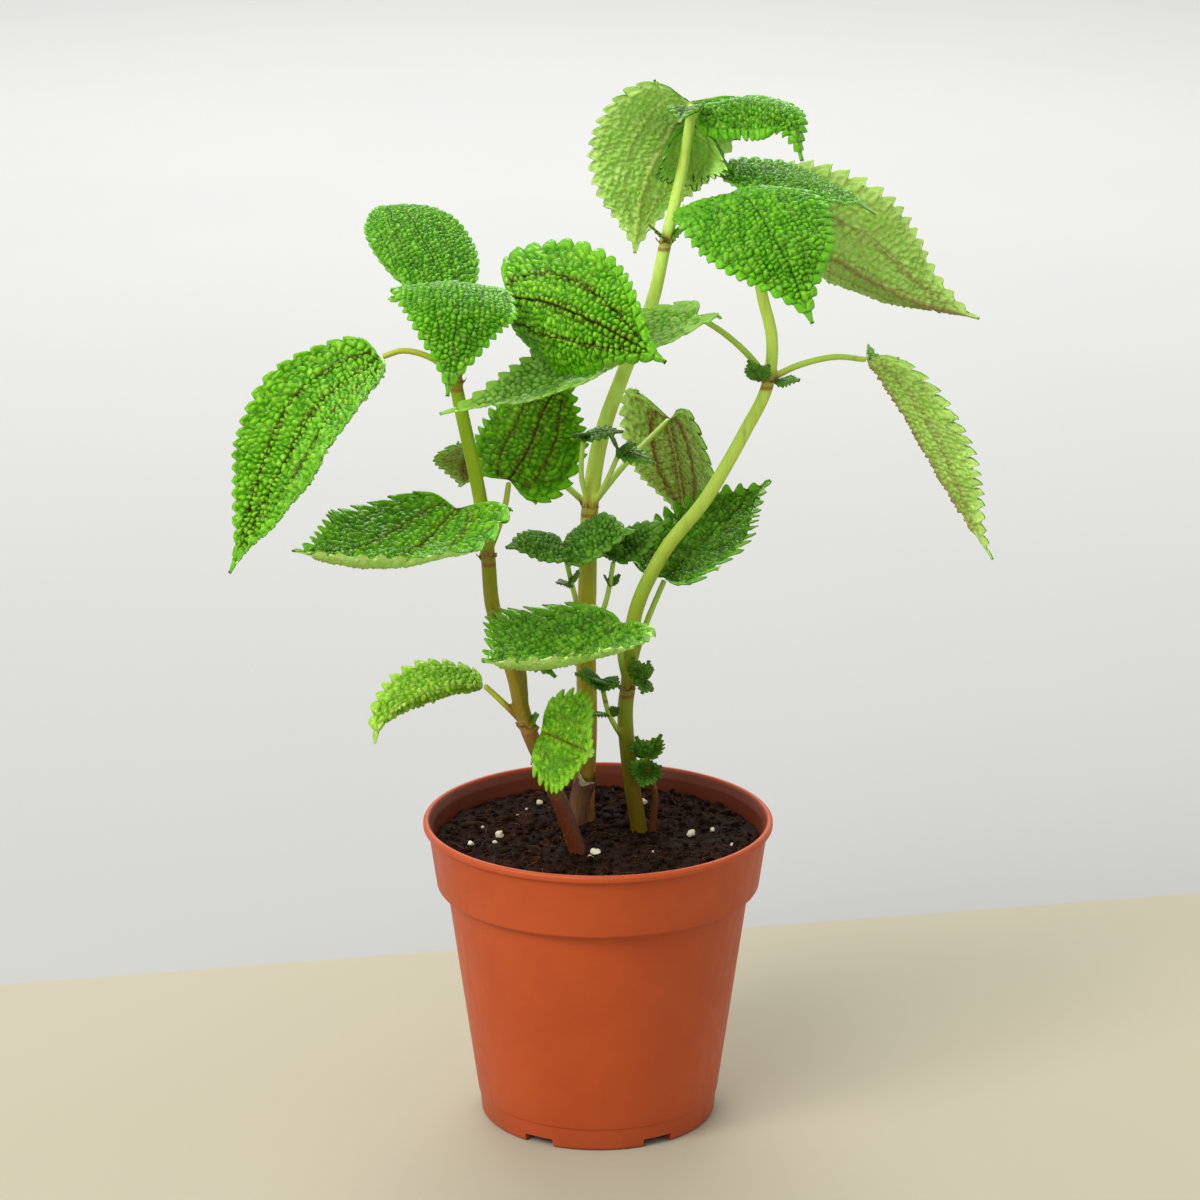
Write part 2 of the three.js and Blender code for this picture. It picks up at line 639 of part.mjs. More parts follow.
function makeSoil() {
  const clear = wall + fit;
  const wallSlope = (bandTopRadius - bandBottomRadius) / (potHeight - 3 - bandBottom);
  const topRadius = bandBottomRadius - clear + wallSlope * (soilTop - bandBottom) - 0.3;
  const profile = [
    [0, floorTop + fit],
    [bodyBottomRadius - clear - 0.6, floorTop + fit],
    [bodyTopRadius - clear - 0.1, bandBottom - 2],
    [bandBottomRadius - clear - 0.2, bandBottom + 1.7],
    [topRadius, soilTop],
    ...topRings.map((radius) => [radius, soilTop]),
  ];
  const geometry = lathe(profile, soilSides);
  const position = geometry.attributes.position;
  for (let i = 0; i < position.count; i++) {
    const [x, y, z] = [position.getX(i), position.getY(i), position.getZ(i)];
    const onTop = z > soilTop - 0.1 && Math.hypot(x, y) < topRadius - 0.5;
    if (onTop) position.setZ(i, soilTop + lumps(x, y));
  }
  let soil = toSolid(geometry);
  for (const [x, y, size] of perliteGrains) {
    const z = soilTop + lumps(x, y) + size * 0.3;
    soil = soil.add(toSolid(new THREE.IcosahedronGeometry(size, 0).translate(x, y, z)));
  }
  for (const stem of [...Object.values(stems), cutStub]) {
    soil = soil.subtract(stalk(stem, fit));
  }
  return toGeometry(mainBody(soil));
}

addPart("soil", makeSoil(), soilBrown);

export default plant;
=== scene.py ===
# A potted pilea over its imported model: fine leaves, stems, pot and soil.
import bisect
import math
import random

import bmesh
import bpy
from mathutils import Matrix, Vector, kdtree, noise
from mathutils.geometry import interpolate_bezier


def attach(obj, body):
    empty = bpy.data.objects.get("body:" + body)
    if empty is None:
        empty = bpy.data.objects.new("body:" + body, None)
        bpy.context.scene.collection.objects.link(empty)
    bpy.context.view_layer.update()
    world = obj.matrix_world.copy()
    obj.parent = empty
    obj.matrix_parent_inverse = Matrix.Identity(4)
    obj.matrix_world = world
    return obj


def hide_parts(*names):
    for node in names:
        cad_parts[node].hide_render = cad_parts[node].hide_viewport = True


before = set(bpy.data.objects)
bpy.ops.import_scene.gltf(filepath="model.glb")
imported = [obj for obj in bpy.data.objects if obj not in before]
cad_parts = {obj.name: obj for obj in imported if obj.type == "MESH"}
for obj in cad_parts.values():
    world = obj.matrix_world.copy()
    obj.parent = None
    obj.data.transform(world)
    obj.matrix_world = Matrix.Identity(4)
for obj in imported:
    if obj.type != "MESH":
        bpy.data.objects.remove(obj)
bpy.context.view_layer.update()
scene = bpy.context.scene
print("packed model loaded")

# Everything below is laid out in millimetres and brought to metres as each piece is finished.

# camera and light
view = {"place": (0.6, -1150.8, 496.0), "pitch": 16.24, "lens": 121.65}

camera = bpy.data.cameras.new("camera")
camera.lens = view["lens"]
camera.sensor_width = 36
cameraPiece = bpy.data.objects.new("camera", camera)
cameraPiece.location = Vector(view["place"]) / 1000
cameraPiece.rotation_euler = (math.radians(90 - view["pitch"]), 0, 0)
scene.collection.objects.link(cameraPiece)
scene.camera = cameraPiece
scene.view_settings.view_transform = "Standard"

lamps = {
    "sun": {"kind": "SUN", "place": (-0.8, -1.0, 1.45), "aim": (0, 0, 0.15), "size": 0.7, "power": 1.5,
            "tint": (1, 0.975, 0.93)},
    "softbox": {"kind": "AREA", "place": (-0.9, -0.7, 0.9), "aim": (0, 0, 0.2), "size": 0.35, "power": 5,
                "tint": (1, 0.98, 0.95)},
    "back": {"kind": "AREA", "place": (-0.1, 1.7, 1.6), "aim": (-0.1, 1.7, 0), "size": 1.6, "power": 38,
             "tint": (1, 1, 1)},
}
for name, lamp in lamps.items():
    light = bpy.data.lights.new(name, lamp["kind"])
    if lamp["kind"] == "SUN":
        light.angle = lamp["size"]
    else:
        light.size = lamp["size"]
    light.energy = lamp["power"]
    light.color = lamp["tint"]
    lightPiece = bpy.data.objects.new(name, light)
    lightPiece.location = lamp["place"]
    lightPiece.rotation_euler = (Vector(lamp["aim"]) - lightPiece.location).to_track_quat("-Z", "Y").to_euler()
    scene.collection.objects.link(lightPiece)

world = bpy.data.worlds.new("studio")
scene.world = world
world.use_nodes = True
backdrop = world.node_tree.nodes["Background"].inputs
backdrop["Color"].default_value = (1, 1, 0.97, 1)
backdrop["Strength"].default_value = 0.72


# Material helpers: they add their nodes to the finish that newFinish started last

def colour(red, green, blue):
    def linear(value):
        value /= 255
        return value / 12.92 if value <= 0.04045 else ((value + 0.055) / 1.055) ** 2.4
    return (linear(red), linear(green), linear(blue), 1)


def feed(value, socket):
    # a socket is linked, and a number or colour is set on the socket itself
    if isinstance(value, bpy.types.NodeSocket):
        tree.links.new(value, socket)
    else:
        socket.default_value = value


def mix(share, first, second):
    node = tree.nodes.new("ShaderNodeMix")
    node.data_type = "RGBA"
    feed(share, node.inputs[0])
    feed(first, node.inputs[6])
    feed(second, node.inputs[7])
    return node.outputs[2]


def layered(body, *layers):
    # every layer is a share and the colour that it lays over what is below
    for share, shade in layers:
        body = mix(share, body, shade)
    return body


def ramp(value, start, end, low=0.0, high=1.0):
    node = tree.nodes.new("ShaderNodeMapRange")
    node.interpolation_type = "SMOOTHSTEP"
    feed(value, node.inputs["Value"])
    node.inputs["From Min"].default_value = start
    node.inputs["From Max"].default_value = end
    node.inputs["To Min"].default_value = low
    node.inputs["To Max"].default_value = high
    return node.outputs["Result"]


def sums(kind, first, second=0.5):
    node = tree.nodes.new("ShaderNodeMath")
    node.operation = kind
    feed(first, node.inputs[0])
    feed(second, node.inputs[1])
    return node.outputs[0]


def painted(name):
    node = tree.nodes.new("ShaderNodeAttribute")
    node.attribute_name = name
    return node.outputs["Fac"]


def place(stretch=None):
    node = tree.nodes.new("ShaderNodeTexCoord")
    if not stretch:
        return node.outputs["Object"]
    mapping = tree.nodes.new("ShaderNodeMapping")
    tree.links.new(node.outputs["Object"], mapping.inputs["Vector"])
    mapping.inputs["Scale"].default_value = stretch
    return mapping.outputs["Vector"]


def grain(scale, detail=3, roughness=0.6, stretch=None):
    node = tree.nodes.new("ShaderNodeTexNoise")
    tree.links.new(place(stretch), node.inputs["Vector"])
    node.inputs["Scale"].default_value = scale
    node.inputs["Detail"].default_value = detail
    node.inputs["Roughness"].default_value = roughness
    return node.outputs["Fac"]


def pebbles(scale):
    node = tree.nodes.new("ShaderNodeTexVoronoi")
    node.feature = "SMOOTH_F1"
    tree.links.new(place(), node.inputs["Vector"])
    node.inputs["Scale"].default_value = scale
    return node.outputs["Distance"]


def axes():
    node = tree.nodes.new("ShaderNodeSeparateXYZ")
    tree.links.new(place(), node.inputs["Vector"])
    return node.outputs


def bumps(height, distance, strength=1.0):
    node = tree.nodes.new("ShaderNodeBump")
    node.inputs["Strength"].default_value = strength
    node.inputs["Distance"].default_value = distance
    tree.links.new(height, node.inputs["Height"])
    return node.outputs["Normal"]


def newFinish(name):
    global tree
    finish = bpy.data.materials.new(name)
    finish.use_nodes = True
    tree = finish.node_tree
    return finish


def dress(finish, sockets):
    for name, value in sockets.items():
        feed(value, finish.node_tree.nodes["Principled BSDF"].inputs[name])
    return finish


# Mesh helpers

def linked(bm, name, finishes=()):
    mesh = bpy.data.meshes.new(name)
    bm.to_mesh(mesh)
    bm.free()
    piece = bpy.data.objects.new(name, mesh)
    scene.collection.objects.link(piece)
    for finish in finishes:
        mesh.materials.append(finish)
    return piece


def makePiece(bm, name, finishes, nodes):
    bmesh.ops.scale(bm, vec=(0.001, 0.001, 0.001), verts=bm.verts)
    for face in bm.faces:
        face.smooth = True
    piece = linked(bm, name, finishes)
    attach(piece, "root")
    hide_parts(*nodes)
    return piece


def curvePath(points):
    # the same smooth curve through the points as in the source of the part, evenly measured
    knots = [Vector(point) for point in points]
    knots = [2 * knots[0] - knots[1]] + knots + [2 * knots[-1] - knots[-2]]
    trail = []
    for before, first, second, after in zip(knots, knots[1:], knots[2:], knots[3:]):
        gap0 = (first - before).length ** 0.5
        gap1 = (second - first).length ** 0.5
        gap2 = (after - second).length ** 0.5
        leave = ((first - before) / gap0 - (second - before) / (gap0 + gap1) + (second - first) / gap1) * gap1
        reach = ((second - first) / gap1 - (after - first) / (gap1 + gap2) + (after - second) / gap2) * gap1
        trail += interpolate_bezier(first, first + leave / 3, second - reach / 3, second, 49)[:-1]
    trail.append(knots[-2])
    slopes = [trail[min(i + 1, len(trail) - 1)] - trail[max(i - 1, 0)] for i in range(len(trail))]
    measured = [0.0]
    for one, other in zip(trail, trail[1:]):
        measured.append(measured[-1] + (other - one).length)

    def at(share):
        want = min(max(share, 0), 1) * measured[-1]
        i = min(max(bisect.bisect(measured, want), 1), len(measured) - 1)
        part = (want - measured[i - 1]) / (measured[i] - measured[i - 1])
        spot = trail[i - 1].lerp(trail[i], part)
        return spot, slopes[i - 1].normalized().lerp(slopes[i].normalized(), part).normalized()

    return measured[-1], at


def tubeThrough(bm, points, start, end, sides=14, spacing=0.5, swell=None):
    # a round stalk through the points, closed at both ends
    length, at = curvePath(points)
    steps = max(4, round(length / spacing))
    made = bmesh.ops.create_grid(bm, x_segments=sides, y_segments=steps, size=0.5)["verts"]
    normal = None
    rings = {}
    for vert in made:
        rings.setdefault(round((vert.co.y + 0.5) * steps), []).append(vert)
    for step in sorted(rings):
        share = step / steps
        spot, forward = at(share)
        if normal is None:
            normal = forward.orthogonal()
        normal = (normal - normal.project(forward)).normalized()
        across = forward.cross(normal)
        radius = start + (end - start) * share
        for vert in rings[step]:
            turn = (vert.co.x + 0.5) * 2 * math.pi
            wide = radius * (swell(share, turn) if swell else 1)
            vert.co = spot + (normal * math.cos(turn) + across * math.sin(turn)) * wide
    bmesh.ops.remove_doubles(bm, verts=made, dist=0.001)
    bmesh.ops.holes_fill(bm, edges=[edge for edge in bm.edges if edge.is_boundary], sides=sides + 2)


def applied(piece):
    # the piece's modifiers become part of its mesh
    shape = bpy.data.meshes.new_from_object(piece.evaluated_get(bpy.context.evaluated_depsgraph_get()))
    piece.modifiers.clear()
    piece.data = shape
    return shape


def thicken(piece, thickness, back=0):
    wall = piece.modifiers.new("thickness", "SOLIDIFY")
    wall.thickness = thickness / 1000
    wall.offset = 0
    wall.material_offset = back
    applied(piece)
    return piece


# Leaves

def leafFinish(name, look):
    finish = newFinish(name)
    cell = painted("cell")
    rib = sums("ABSOLUTE", painted("rib"))
    lateral = sums("ABSOLUTE", painted("lateral"))
    fine = grain(1100)
    valley = ramp(cell, 0.2, 1.1, 1, 0)
    body = layered(
        look["low"],
        # valleys take the low colour and blister tops the high one: partly the leaf's own colour, partly painted shade
        # in the valleys
        (ramp(cell, 0, look["spread"]), look["high"]),
        (ramp(painted("knob"), 0, 0.8, look["knobShare"], 0), look["low"]),
        (ramp(grain(60, 2), 0.35, 0.7, 0, 0.4), look["dark"]),
        (ramp(painted("tone"), 0.2, 1, 0, 0.35), look["light"]),
        # painted highlight: the light colour laid on the blister tops
        (ramp(cell, 0.9, 1.9, 0, 0.3), look["light"]),
        (ramp(painted("rim"), 0.2, 4, look["rimShare"], 0), look["rim"]),
        # painted shade along the cell borders in the valleys; on the red undersides this line is also their red-brown
        # net
        (ramp(cell, 0, 0.4, look["net"], 0), look["line"]),
    )
    for away, near, far, share in ((lateral, 0.4, 2.3, "lateralShare"), (rib, 0.7, 3.4, "lateralShare"),
                                   (painted("cross"), 0.1, 0.6, "crossShare")):
        body = mix(sums("MULTIPLY", ramp(away, near, far, look[share], 0), valley), body, look["vein"])
    small = sums("ADD", sums("MULTIPLY", pebbles(1300), -1.2), fine)
    return dress(finish, {
        "Base Color": layered(body, (ramp(lateral, 0.1, 0.35, look["lateralShare"], 0), look["vein"]),
                              (ramp(rib, 0.18, 0.6, look["ribShare"], 0), look["rib"])),
        "Roughness": ramp(fine, 0.3, 0.7, look["gloss"] - 0.06, look["gloss"] + 0.12),
        "Specular IOR Level": look["shine"], "Specular Tint": (0.9, 1, 0.25, 1),
        "Sheen Weight": look["fuzz"], "Sheen Roughness": 0.4, "Sheen Tint": (0.85, 1, 0.7, 1),
        "Subsurface Weight": 0.1, "Subsurface Radius": (0.4, 0.9, 0.1), "Subsurface Scale": 0.0004,
        "Normal": bumps(small, 0.00015, 0.8),
    })


def leafLook(low, high, dark, light, line, vein, rim, rib=None, **more):
    look = {"net": 0.45, "rimShare": 0.3, "ribShare": 0.85, "lateralShare": 0.6, "crossShare": 0.3, "gloss": 0.22,
            "shine": 0.45, "fuzz": 0, "knobShare": 0.5, "spread": 1.5}
    shades = {"low": low, "high": high, "dark": dark, "light": light, "line": line, "vein": vein, "rim": rim,
              "rib": rib or vein}
    return {**look, **{key: colour(*shade) for key, shade in shades.items()}, **more}


upperLooks = {
    "fresh": leafLook((34, 114, 0), (104, 192, 6), (46, 134, 0), (158, 222, 64), (22, 76, 0), (48, 20, 0),
                      (104, 172, 36), net=0.35, ribShare=0.95, lateralShare=0.9, shine=0.5),
    "downy": leafLook((24, 104, 0), (92, 188, 6), (36, 118, 0), (144, 214, 60), (14, 60, 0), (30, 60, 0),
                      (116, 190, 50), fuzz=0.03, net=0.65, spread=1.2, ribShare=0.4, lateralShare=0.25,
                      crossShare=0.1),
    "shade": leafLook((36, 110, 0), (96, 178, 0), (46, 118, 0), (132, 200, 24), (26, 58, 0), (62, 24, 0),
                      (112, 178, 30), lateralShare=0.55),
    "plain": leafLook((34, 108, 0), (98, 182, 8), (46, 122, 0), (148, 212, 60), (24, 60, 0), (60, 66, 0),
                      (124, 188, 50), shine=0.65, ribShare=0.4, lateralShare=0.15, crossShare=0.1),
    "deep": leafLook((28, 94, 0), (84, 160, 4), (34, 102, 0), (126, 190, 44), (18, 52, 0), (56, 56, 0),
                     (100, 164, 32), ribShare=0.4, lateralShare=0.15, crossShare=0.1),
    "dark": leafLook((18, 80, 0), (58, 138, 4), (22, 84, 0), (88, 166, 30), (16, 46, 0), (40, 56, 0),
                     (100, 160, 40), fuzz=0.03, gloss=0.32, ribShare=0.3, lateralShare=0.1, crossShare=0.1),
    "hazy": leafLook((62, 134, 8), (146, 210, 68), (76, 146, 12), (200, 236, 140), (40, 92, 4), (80, 104, 24),
                     (176, 218, 100), fuzz=0.08, gloss=0.34, net=0.6, spread=1.2, ribShare=0.3, lateralShare=0.1,
                     crossShare=0.1),
    "lime": leafLook((58, 136, 0), (118, 192, 0), (70, 142, 0), (164, 216, 46), (44, 96, 0), (96, 92, 6),
                     (150, 202, 60), (96, 66, 10), lateralShare=0.2, crossShare=0.1),
    "faded": leafLook((84, 152, 10), (142, 204, 40), (92, 156, 6), (186, 226, 92), (66, 112, 6), (120, 118, 30),
                      (180, 218, 90), (206, 210, 128), lateralShare=0.2, crossShare=0.1),
}
underLooks = {
    "pale": leafLook((176, 238, 100), (212, 250, 140), (176, 232, 96), (232, 254, 170), (152, 200, 80),
                     (150, 164, 76), (224, 250, 162), (168, 154, 80), net=0.3, gloss=0.42, lateralShare=0.25,
                     crossShare=0.2, ribShare=0.4, shine=0.3, knobShare=0.1),
    "red": leafLook((142, 192, 72), (178, 224, 108), (142, 146, 66), (200, 236, 136), (110, 78, 36), (104, 40, 24),
                    (182, 218, 110), (176, 184, 96), net=0.5, gloss=0.42, crossShare=0.5, lateralShare=0.65,
                    shine=0.3, knobShare=0.1),
    "dustAndShade": leafLook((160, 216, 90), (194, 238, 122), (150, 194, 78), (216, 246, 150), (138, 158, 68),
                      (144, 108, 72), (212, 242, 148), net=0.4, gloss=0.45, fuzz=0.03, ribShare=0.55,
                      lateralShare=0.4, crossShare=0.35, shine=0.3, knobShare=0.1),
}
upperFinish = {key: leafFinish("leaf_" + key, look) for key, look in upperLooks.items()}
underFinish = {key: leafFinish("underside_" + key, look) for key, look in underLooks.items()}
print("leaf finishes made")

# each leaf: spine from base to tip, the way its face looks, width, tilt of its halves, teeth
leaves = {
    "a1": {
        "upper": "faded", "hook": 0.5, "pitch": 1.9, "teethDepth": 1.3, "teethMore": 1.7, "spacing": 0.34,
        "spine": [[-34, -13, 139], [-44, -19, 140], [-55, -23, 137], [-63, -26, 131], [-65, -27, 125]],
        "face": [0, -0.6, 0.8], "width": 25, "left": [-1.2, -3.2], "right": [-0.1, -0.3], "teeth": 7, "belly": 0.7,
    },
    "a2": {
        "upper": "lime", "hook": 0.4, "pitch": 2.3, "blister": 0.8, "teethDepth": 1.4, "teethMore": 1.7,
        "spacing": 0.34, "spine": [[-16.5, -15.5, 125], [-8.7, -26.2, 125], [-1, -37, 125]],
        "face": [-0.5, -0.75, 0.3], "width": 30, "left": [0, -0.5], "right": [0.1, -0.3], "teeth": 7, "lobe": 0.3,
    },
    "a3": {
        "upper": "shade", "pitch": 1.9, "parts": [0.2, 0.5, 0.8], "teethDepth": 2, "teethMore": 1.5,
        "spine": [[-41, -16, 193], [-51, -26, 185], [-63, -40, 183], [-85, -62, 193]], "face": [0.1, -0.1, 1],
        "width": 47, "left": [0.2, 0.7], "right": [0.15, 0.6], "teeth": 9, "lobe": [0.35, 0.1], "openBase": 1,
    },
    "a4": {
        "upper": "shade", "spine": [[-26, 2, 197], [-21, 8, 204], [-16, 14, 215], [-8, 19, 229]],
        "face": [-0.1, -0.85, 0.45], "width": 32, "left": [0, -0.3], "right": [-0.1, -0.6], "teeth": 8,
    },
    "a5": {
        "hook": 0.7, "pitch": 2.3, "blister": 1.3, "knobs": 0.6, "rimBand": 1.2, "teethDepth": 0.8,
        "teethMore": 2.1, "spacing": 0.34,
        "spine": [[-63, -8, 236], [-80, -20, 225], [-92, -26, 205], [-106, -28, 177]], "face": [-0.6, -0.65, 0.45],
        "width": 43, "left": [0.2, 0.4], "right": [0, 0.2], "teeth": 10, "belly": 0.63, "lobe": [-0.15, 0.15],
    },
    "a6": {
        "hook": 0.1, "pitch": 1.9, "blister": 1.25, "ditch": 0.4, "knobs": 0.4, "rimBand": 2.6, "teethDepth": 0.9,
        "spacing": 0.32, "spine": [[-26, -9, 254], [-14.5, -23, 255.5], [0, -36, 252], [19, -45, 243]],
        "face": [0.1, -0.93, 0.45], "width": 42, "left": [0, -0.3], "right": [-0.2, -1.7], "teeth": 9,
        "lobe": [0.5, 0.05],
    },
    "a7": {
        "upper": "downy", "hook": 0.1, "pitch": 1.5, "spacing": 0.28, "blister": 0.95, "knobs": 0.2, "ditch": 0,
        "rimBand": 0.8, "teethDepth": 0.35, "teethMore": 2.1,
        "spine": [[-44, -3, 256], [-49.5, 8, 265], [-55, 19, 272], [-60, 28, 273.5], [-64, 33, 269]],
        "face": [0.22, -0.33, 0.91], "width": 32.5, "left": [0, -0.3], "right": [0, -0.2], "teeth": 9, "belly": 0.7,
    },
    "a8": {
        "upper": "downy", "pitch": 1.6, "spacing": 0.3, "blister": 0.85, "knobs": 0.2, "ditch": 0, "rimBand": 1.2,
        "teethDepth": 0.8, "teethMore": 2.1,
        "spine": [[-45, -13, 258], [-40, -28, 262], [-39, -42, 257], [-42, -48, 234]], "face": [0.25, -0.65, 0.7],
        "width": 36, "left": [-0.1, -0.3], "right": [-0.1, -0.4], "teeth": 9, "lobe": [0.2, 0.35],
    },
    "b1": {
        "under": "red", "spine": [[-25, 26, 200], [-30.5, 31, 199.5], [-42, 40, 185]], "face": [-0.5, 0.65, 0.55],
        "width": 40, "teeth": 7,
    },
    "b2": {
        "under": "red", "teethDepth": 1.4, "spine": [[21.8, 45, 205], [25, 50, 189], [28, 56, 168]],
        "face": [0.58, 0.73, 0.36], "width": 41, "right": [-0.3, -0.5], "teeth": 9, "belly": 0.62, "lobe": 0.7,
    },
    "b3": {
        "under": "dustAndShade", "teethDepth": 1.4,
        "spine": [[49.5, 38, 267], [69, 46, 255], [92, 54, 241], [116, 58, 233]], "face": [-0.3, 0.93, -0.1],
        "width": 50, "left": [1.3, 1.5], "right": [0, 0.1], "teeth": 10,
    },
    "b4": {
        "spine": [[26.5, 13.8, 306.5], [20, 26, 294], [13, 34, 276], [11, 40, 257]], "face": [-0.15, 0.88, 0.45],
        "width": 41, "left": [0.1, 0.1], "right": [0.1, 0], "teeth": 9, "lobe": 0.3,
    },
    "b5": {
        "upper": "downy", "pitch": 1.6, "spacing": 0.3,
        "spine": [[30.5, 7, 306.5], [43, 0, 309], [54, -8, 306], [58, -12, 294]], "face": [0.1, -0.25, 0.95],
        "width": 21, "left": [-0.1, -0.4], "right": [-0.4, -1.6], "teeth": 9,
    },
    "b6": {
        "upper": "dark", "spine": [[27.3, 15, 300], [27.2, 20, 291], [28.4, 22, 279]], "face": [0, 0.8, 0.5],
        "width": 34, "left": [-0.2, -1.7], "right": [-0.2, -1.7], "teeth": 6,
    },
    "b7": {
        "upper": "dark", "spine": [[25.5, 6.5, 306], [24.5, 0, 307], [23, -8, 304]], "face": [0, 0, 1], "width": 10,
        "left": [0.2, 0], "right": [0.2, 0], "teeth": 4, "tooth": 0.4,
    },
    "c1": {
        "upper": "deep", "pitch": 1.7, "parts": [0.2, 0.5, 0.8], "teethDepth": 2, "teethMore": 1.5, "spacing": 0.36,
        "spine": [[20, 6, 166], [30, 16, 173], [41, 26, 181], [52, 32, 189]], "face": [-0.3, -0.7, 0.65],
        "width": 32, "left": [0.1, 0], "right": [0.3, 0.5], "teeth": 9,
    },
    "c2": {
        "upper": "plain", "hook": 1.2, "pitch": 1.8, "parts": [0.2, 0.5, 0.8], "teethDepth": 2.8, "teethMore": 1.4,
        "spacing": 0.36, "spine": [[7, -8, 156], [-5, -22, 152], [-17, -36, 151.5], [-32.5, -55, 158.5]],
        "face": [0.1, -0.1, 1], "width": 44, "left": [0.25, 0.8], "right": [0.25, 0.5], "teeth": 9, "belly": 0.74,
        "lobe": 0.25, "openBase": 0.7,
    },
    "c3": {
        "upper": "hazy", "pitch": 1.6, "blister": 0.7, "knobs": 0.3, "ditch": 0,
        "spine": [[28.5, -6.5, 248], [13, -12, 242], [-12, -20, 231], [-45, -28, 224]],
        "face": [[0, 0, 1], [-0.3, -0.45, 0.85]], "width": 34, "left": [0.2, 0.5], "right": [0.3, 0.5], "teeth": 9,
        "openBase": 1,
    },
    "c4": {
        "under": "dustAndShade", "teethDepth": 1.4, "spine": [[79, 2, 233], [90, 6, 216], [102, 8, 195], [117, 8, 171]],
        "face": [0.82, 0.25, 0.5], "width": 36, "left": [0.3, 0.4], "right": [0.45, 0.6], "teeth": 10, "lobe": 0.08,
    },
    "c5": {
        "upper": "downy", "pitch": 2, "spacing": 0.32, "teethDepth": 0.9,
        "spine": [[38, -3, 283], [43, -16, 283], [52, -32, 271], [60, -40, 253]], "face": [0.2, -0.8, 0.6],
        "width": 42, "left": [0.2, -0.5], "right": [-0.1, -0.3], "teeth": 10, "lobe": [0.2, 0.4],
    },
    "c6": {
        "upper": "downy", "pitch": 1.6, "spacing": 0.32, "blister": 1.25, "knobs": 0.3, "ditch": 0, "rimBand": 1.2,
        "teethDepth": 0.6, "spine": [[44.5, 6, 282], [56, 20, 283.5], [70, 29, 278.5], [82, 34, 270]],
        "face": [0.1, -0.1, 1], "width": 36, "left": [0.05, 0], "right": [0, -0.3], "teeth": 10, "lobe": 0.05,
    },
}

leafDefaults = {
    "left": [0, 0], "right": [0, 0], "belly": 0.57, "lobe": 0.2, "openBase": 0, "tooth": 1,
    "hook": 1, "blister": 1, "pitch": 2.2, "parts": [0.27, 0.76], "rimBand": 2, "knob": 1.3, "knobs": 0.5,
    "ditch": 0.15, "thickness": 0.45, "spacing": 0.42, "teethMore": 1.85, "teethDepth": 1.1,
}


def leafOutline(share, belly):
    return max(math.sin(math.pi * share ** belly), 0) ** (0.6 + 0.65 * share)


def toothShape(turn, hook):
    # slow rise and quick drop towards the tip, or an even round scallop where hook is 0
    turn %= 1
    peak = 0.5 + 0.25 * hook
    way = turn / peak if turn < peak else (1 - turn) / (1 - peak)
    return math.sin(way * math.pi / 2) ** (1 + 0.5 * hook) * 2 - 1


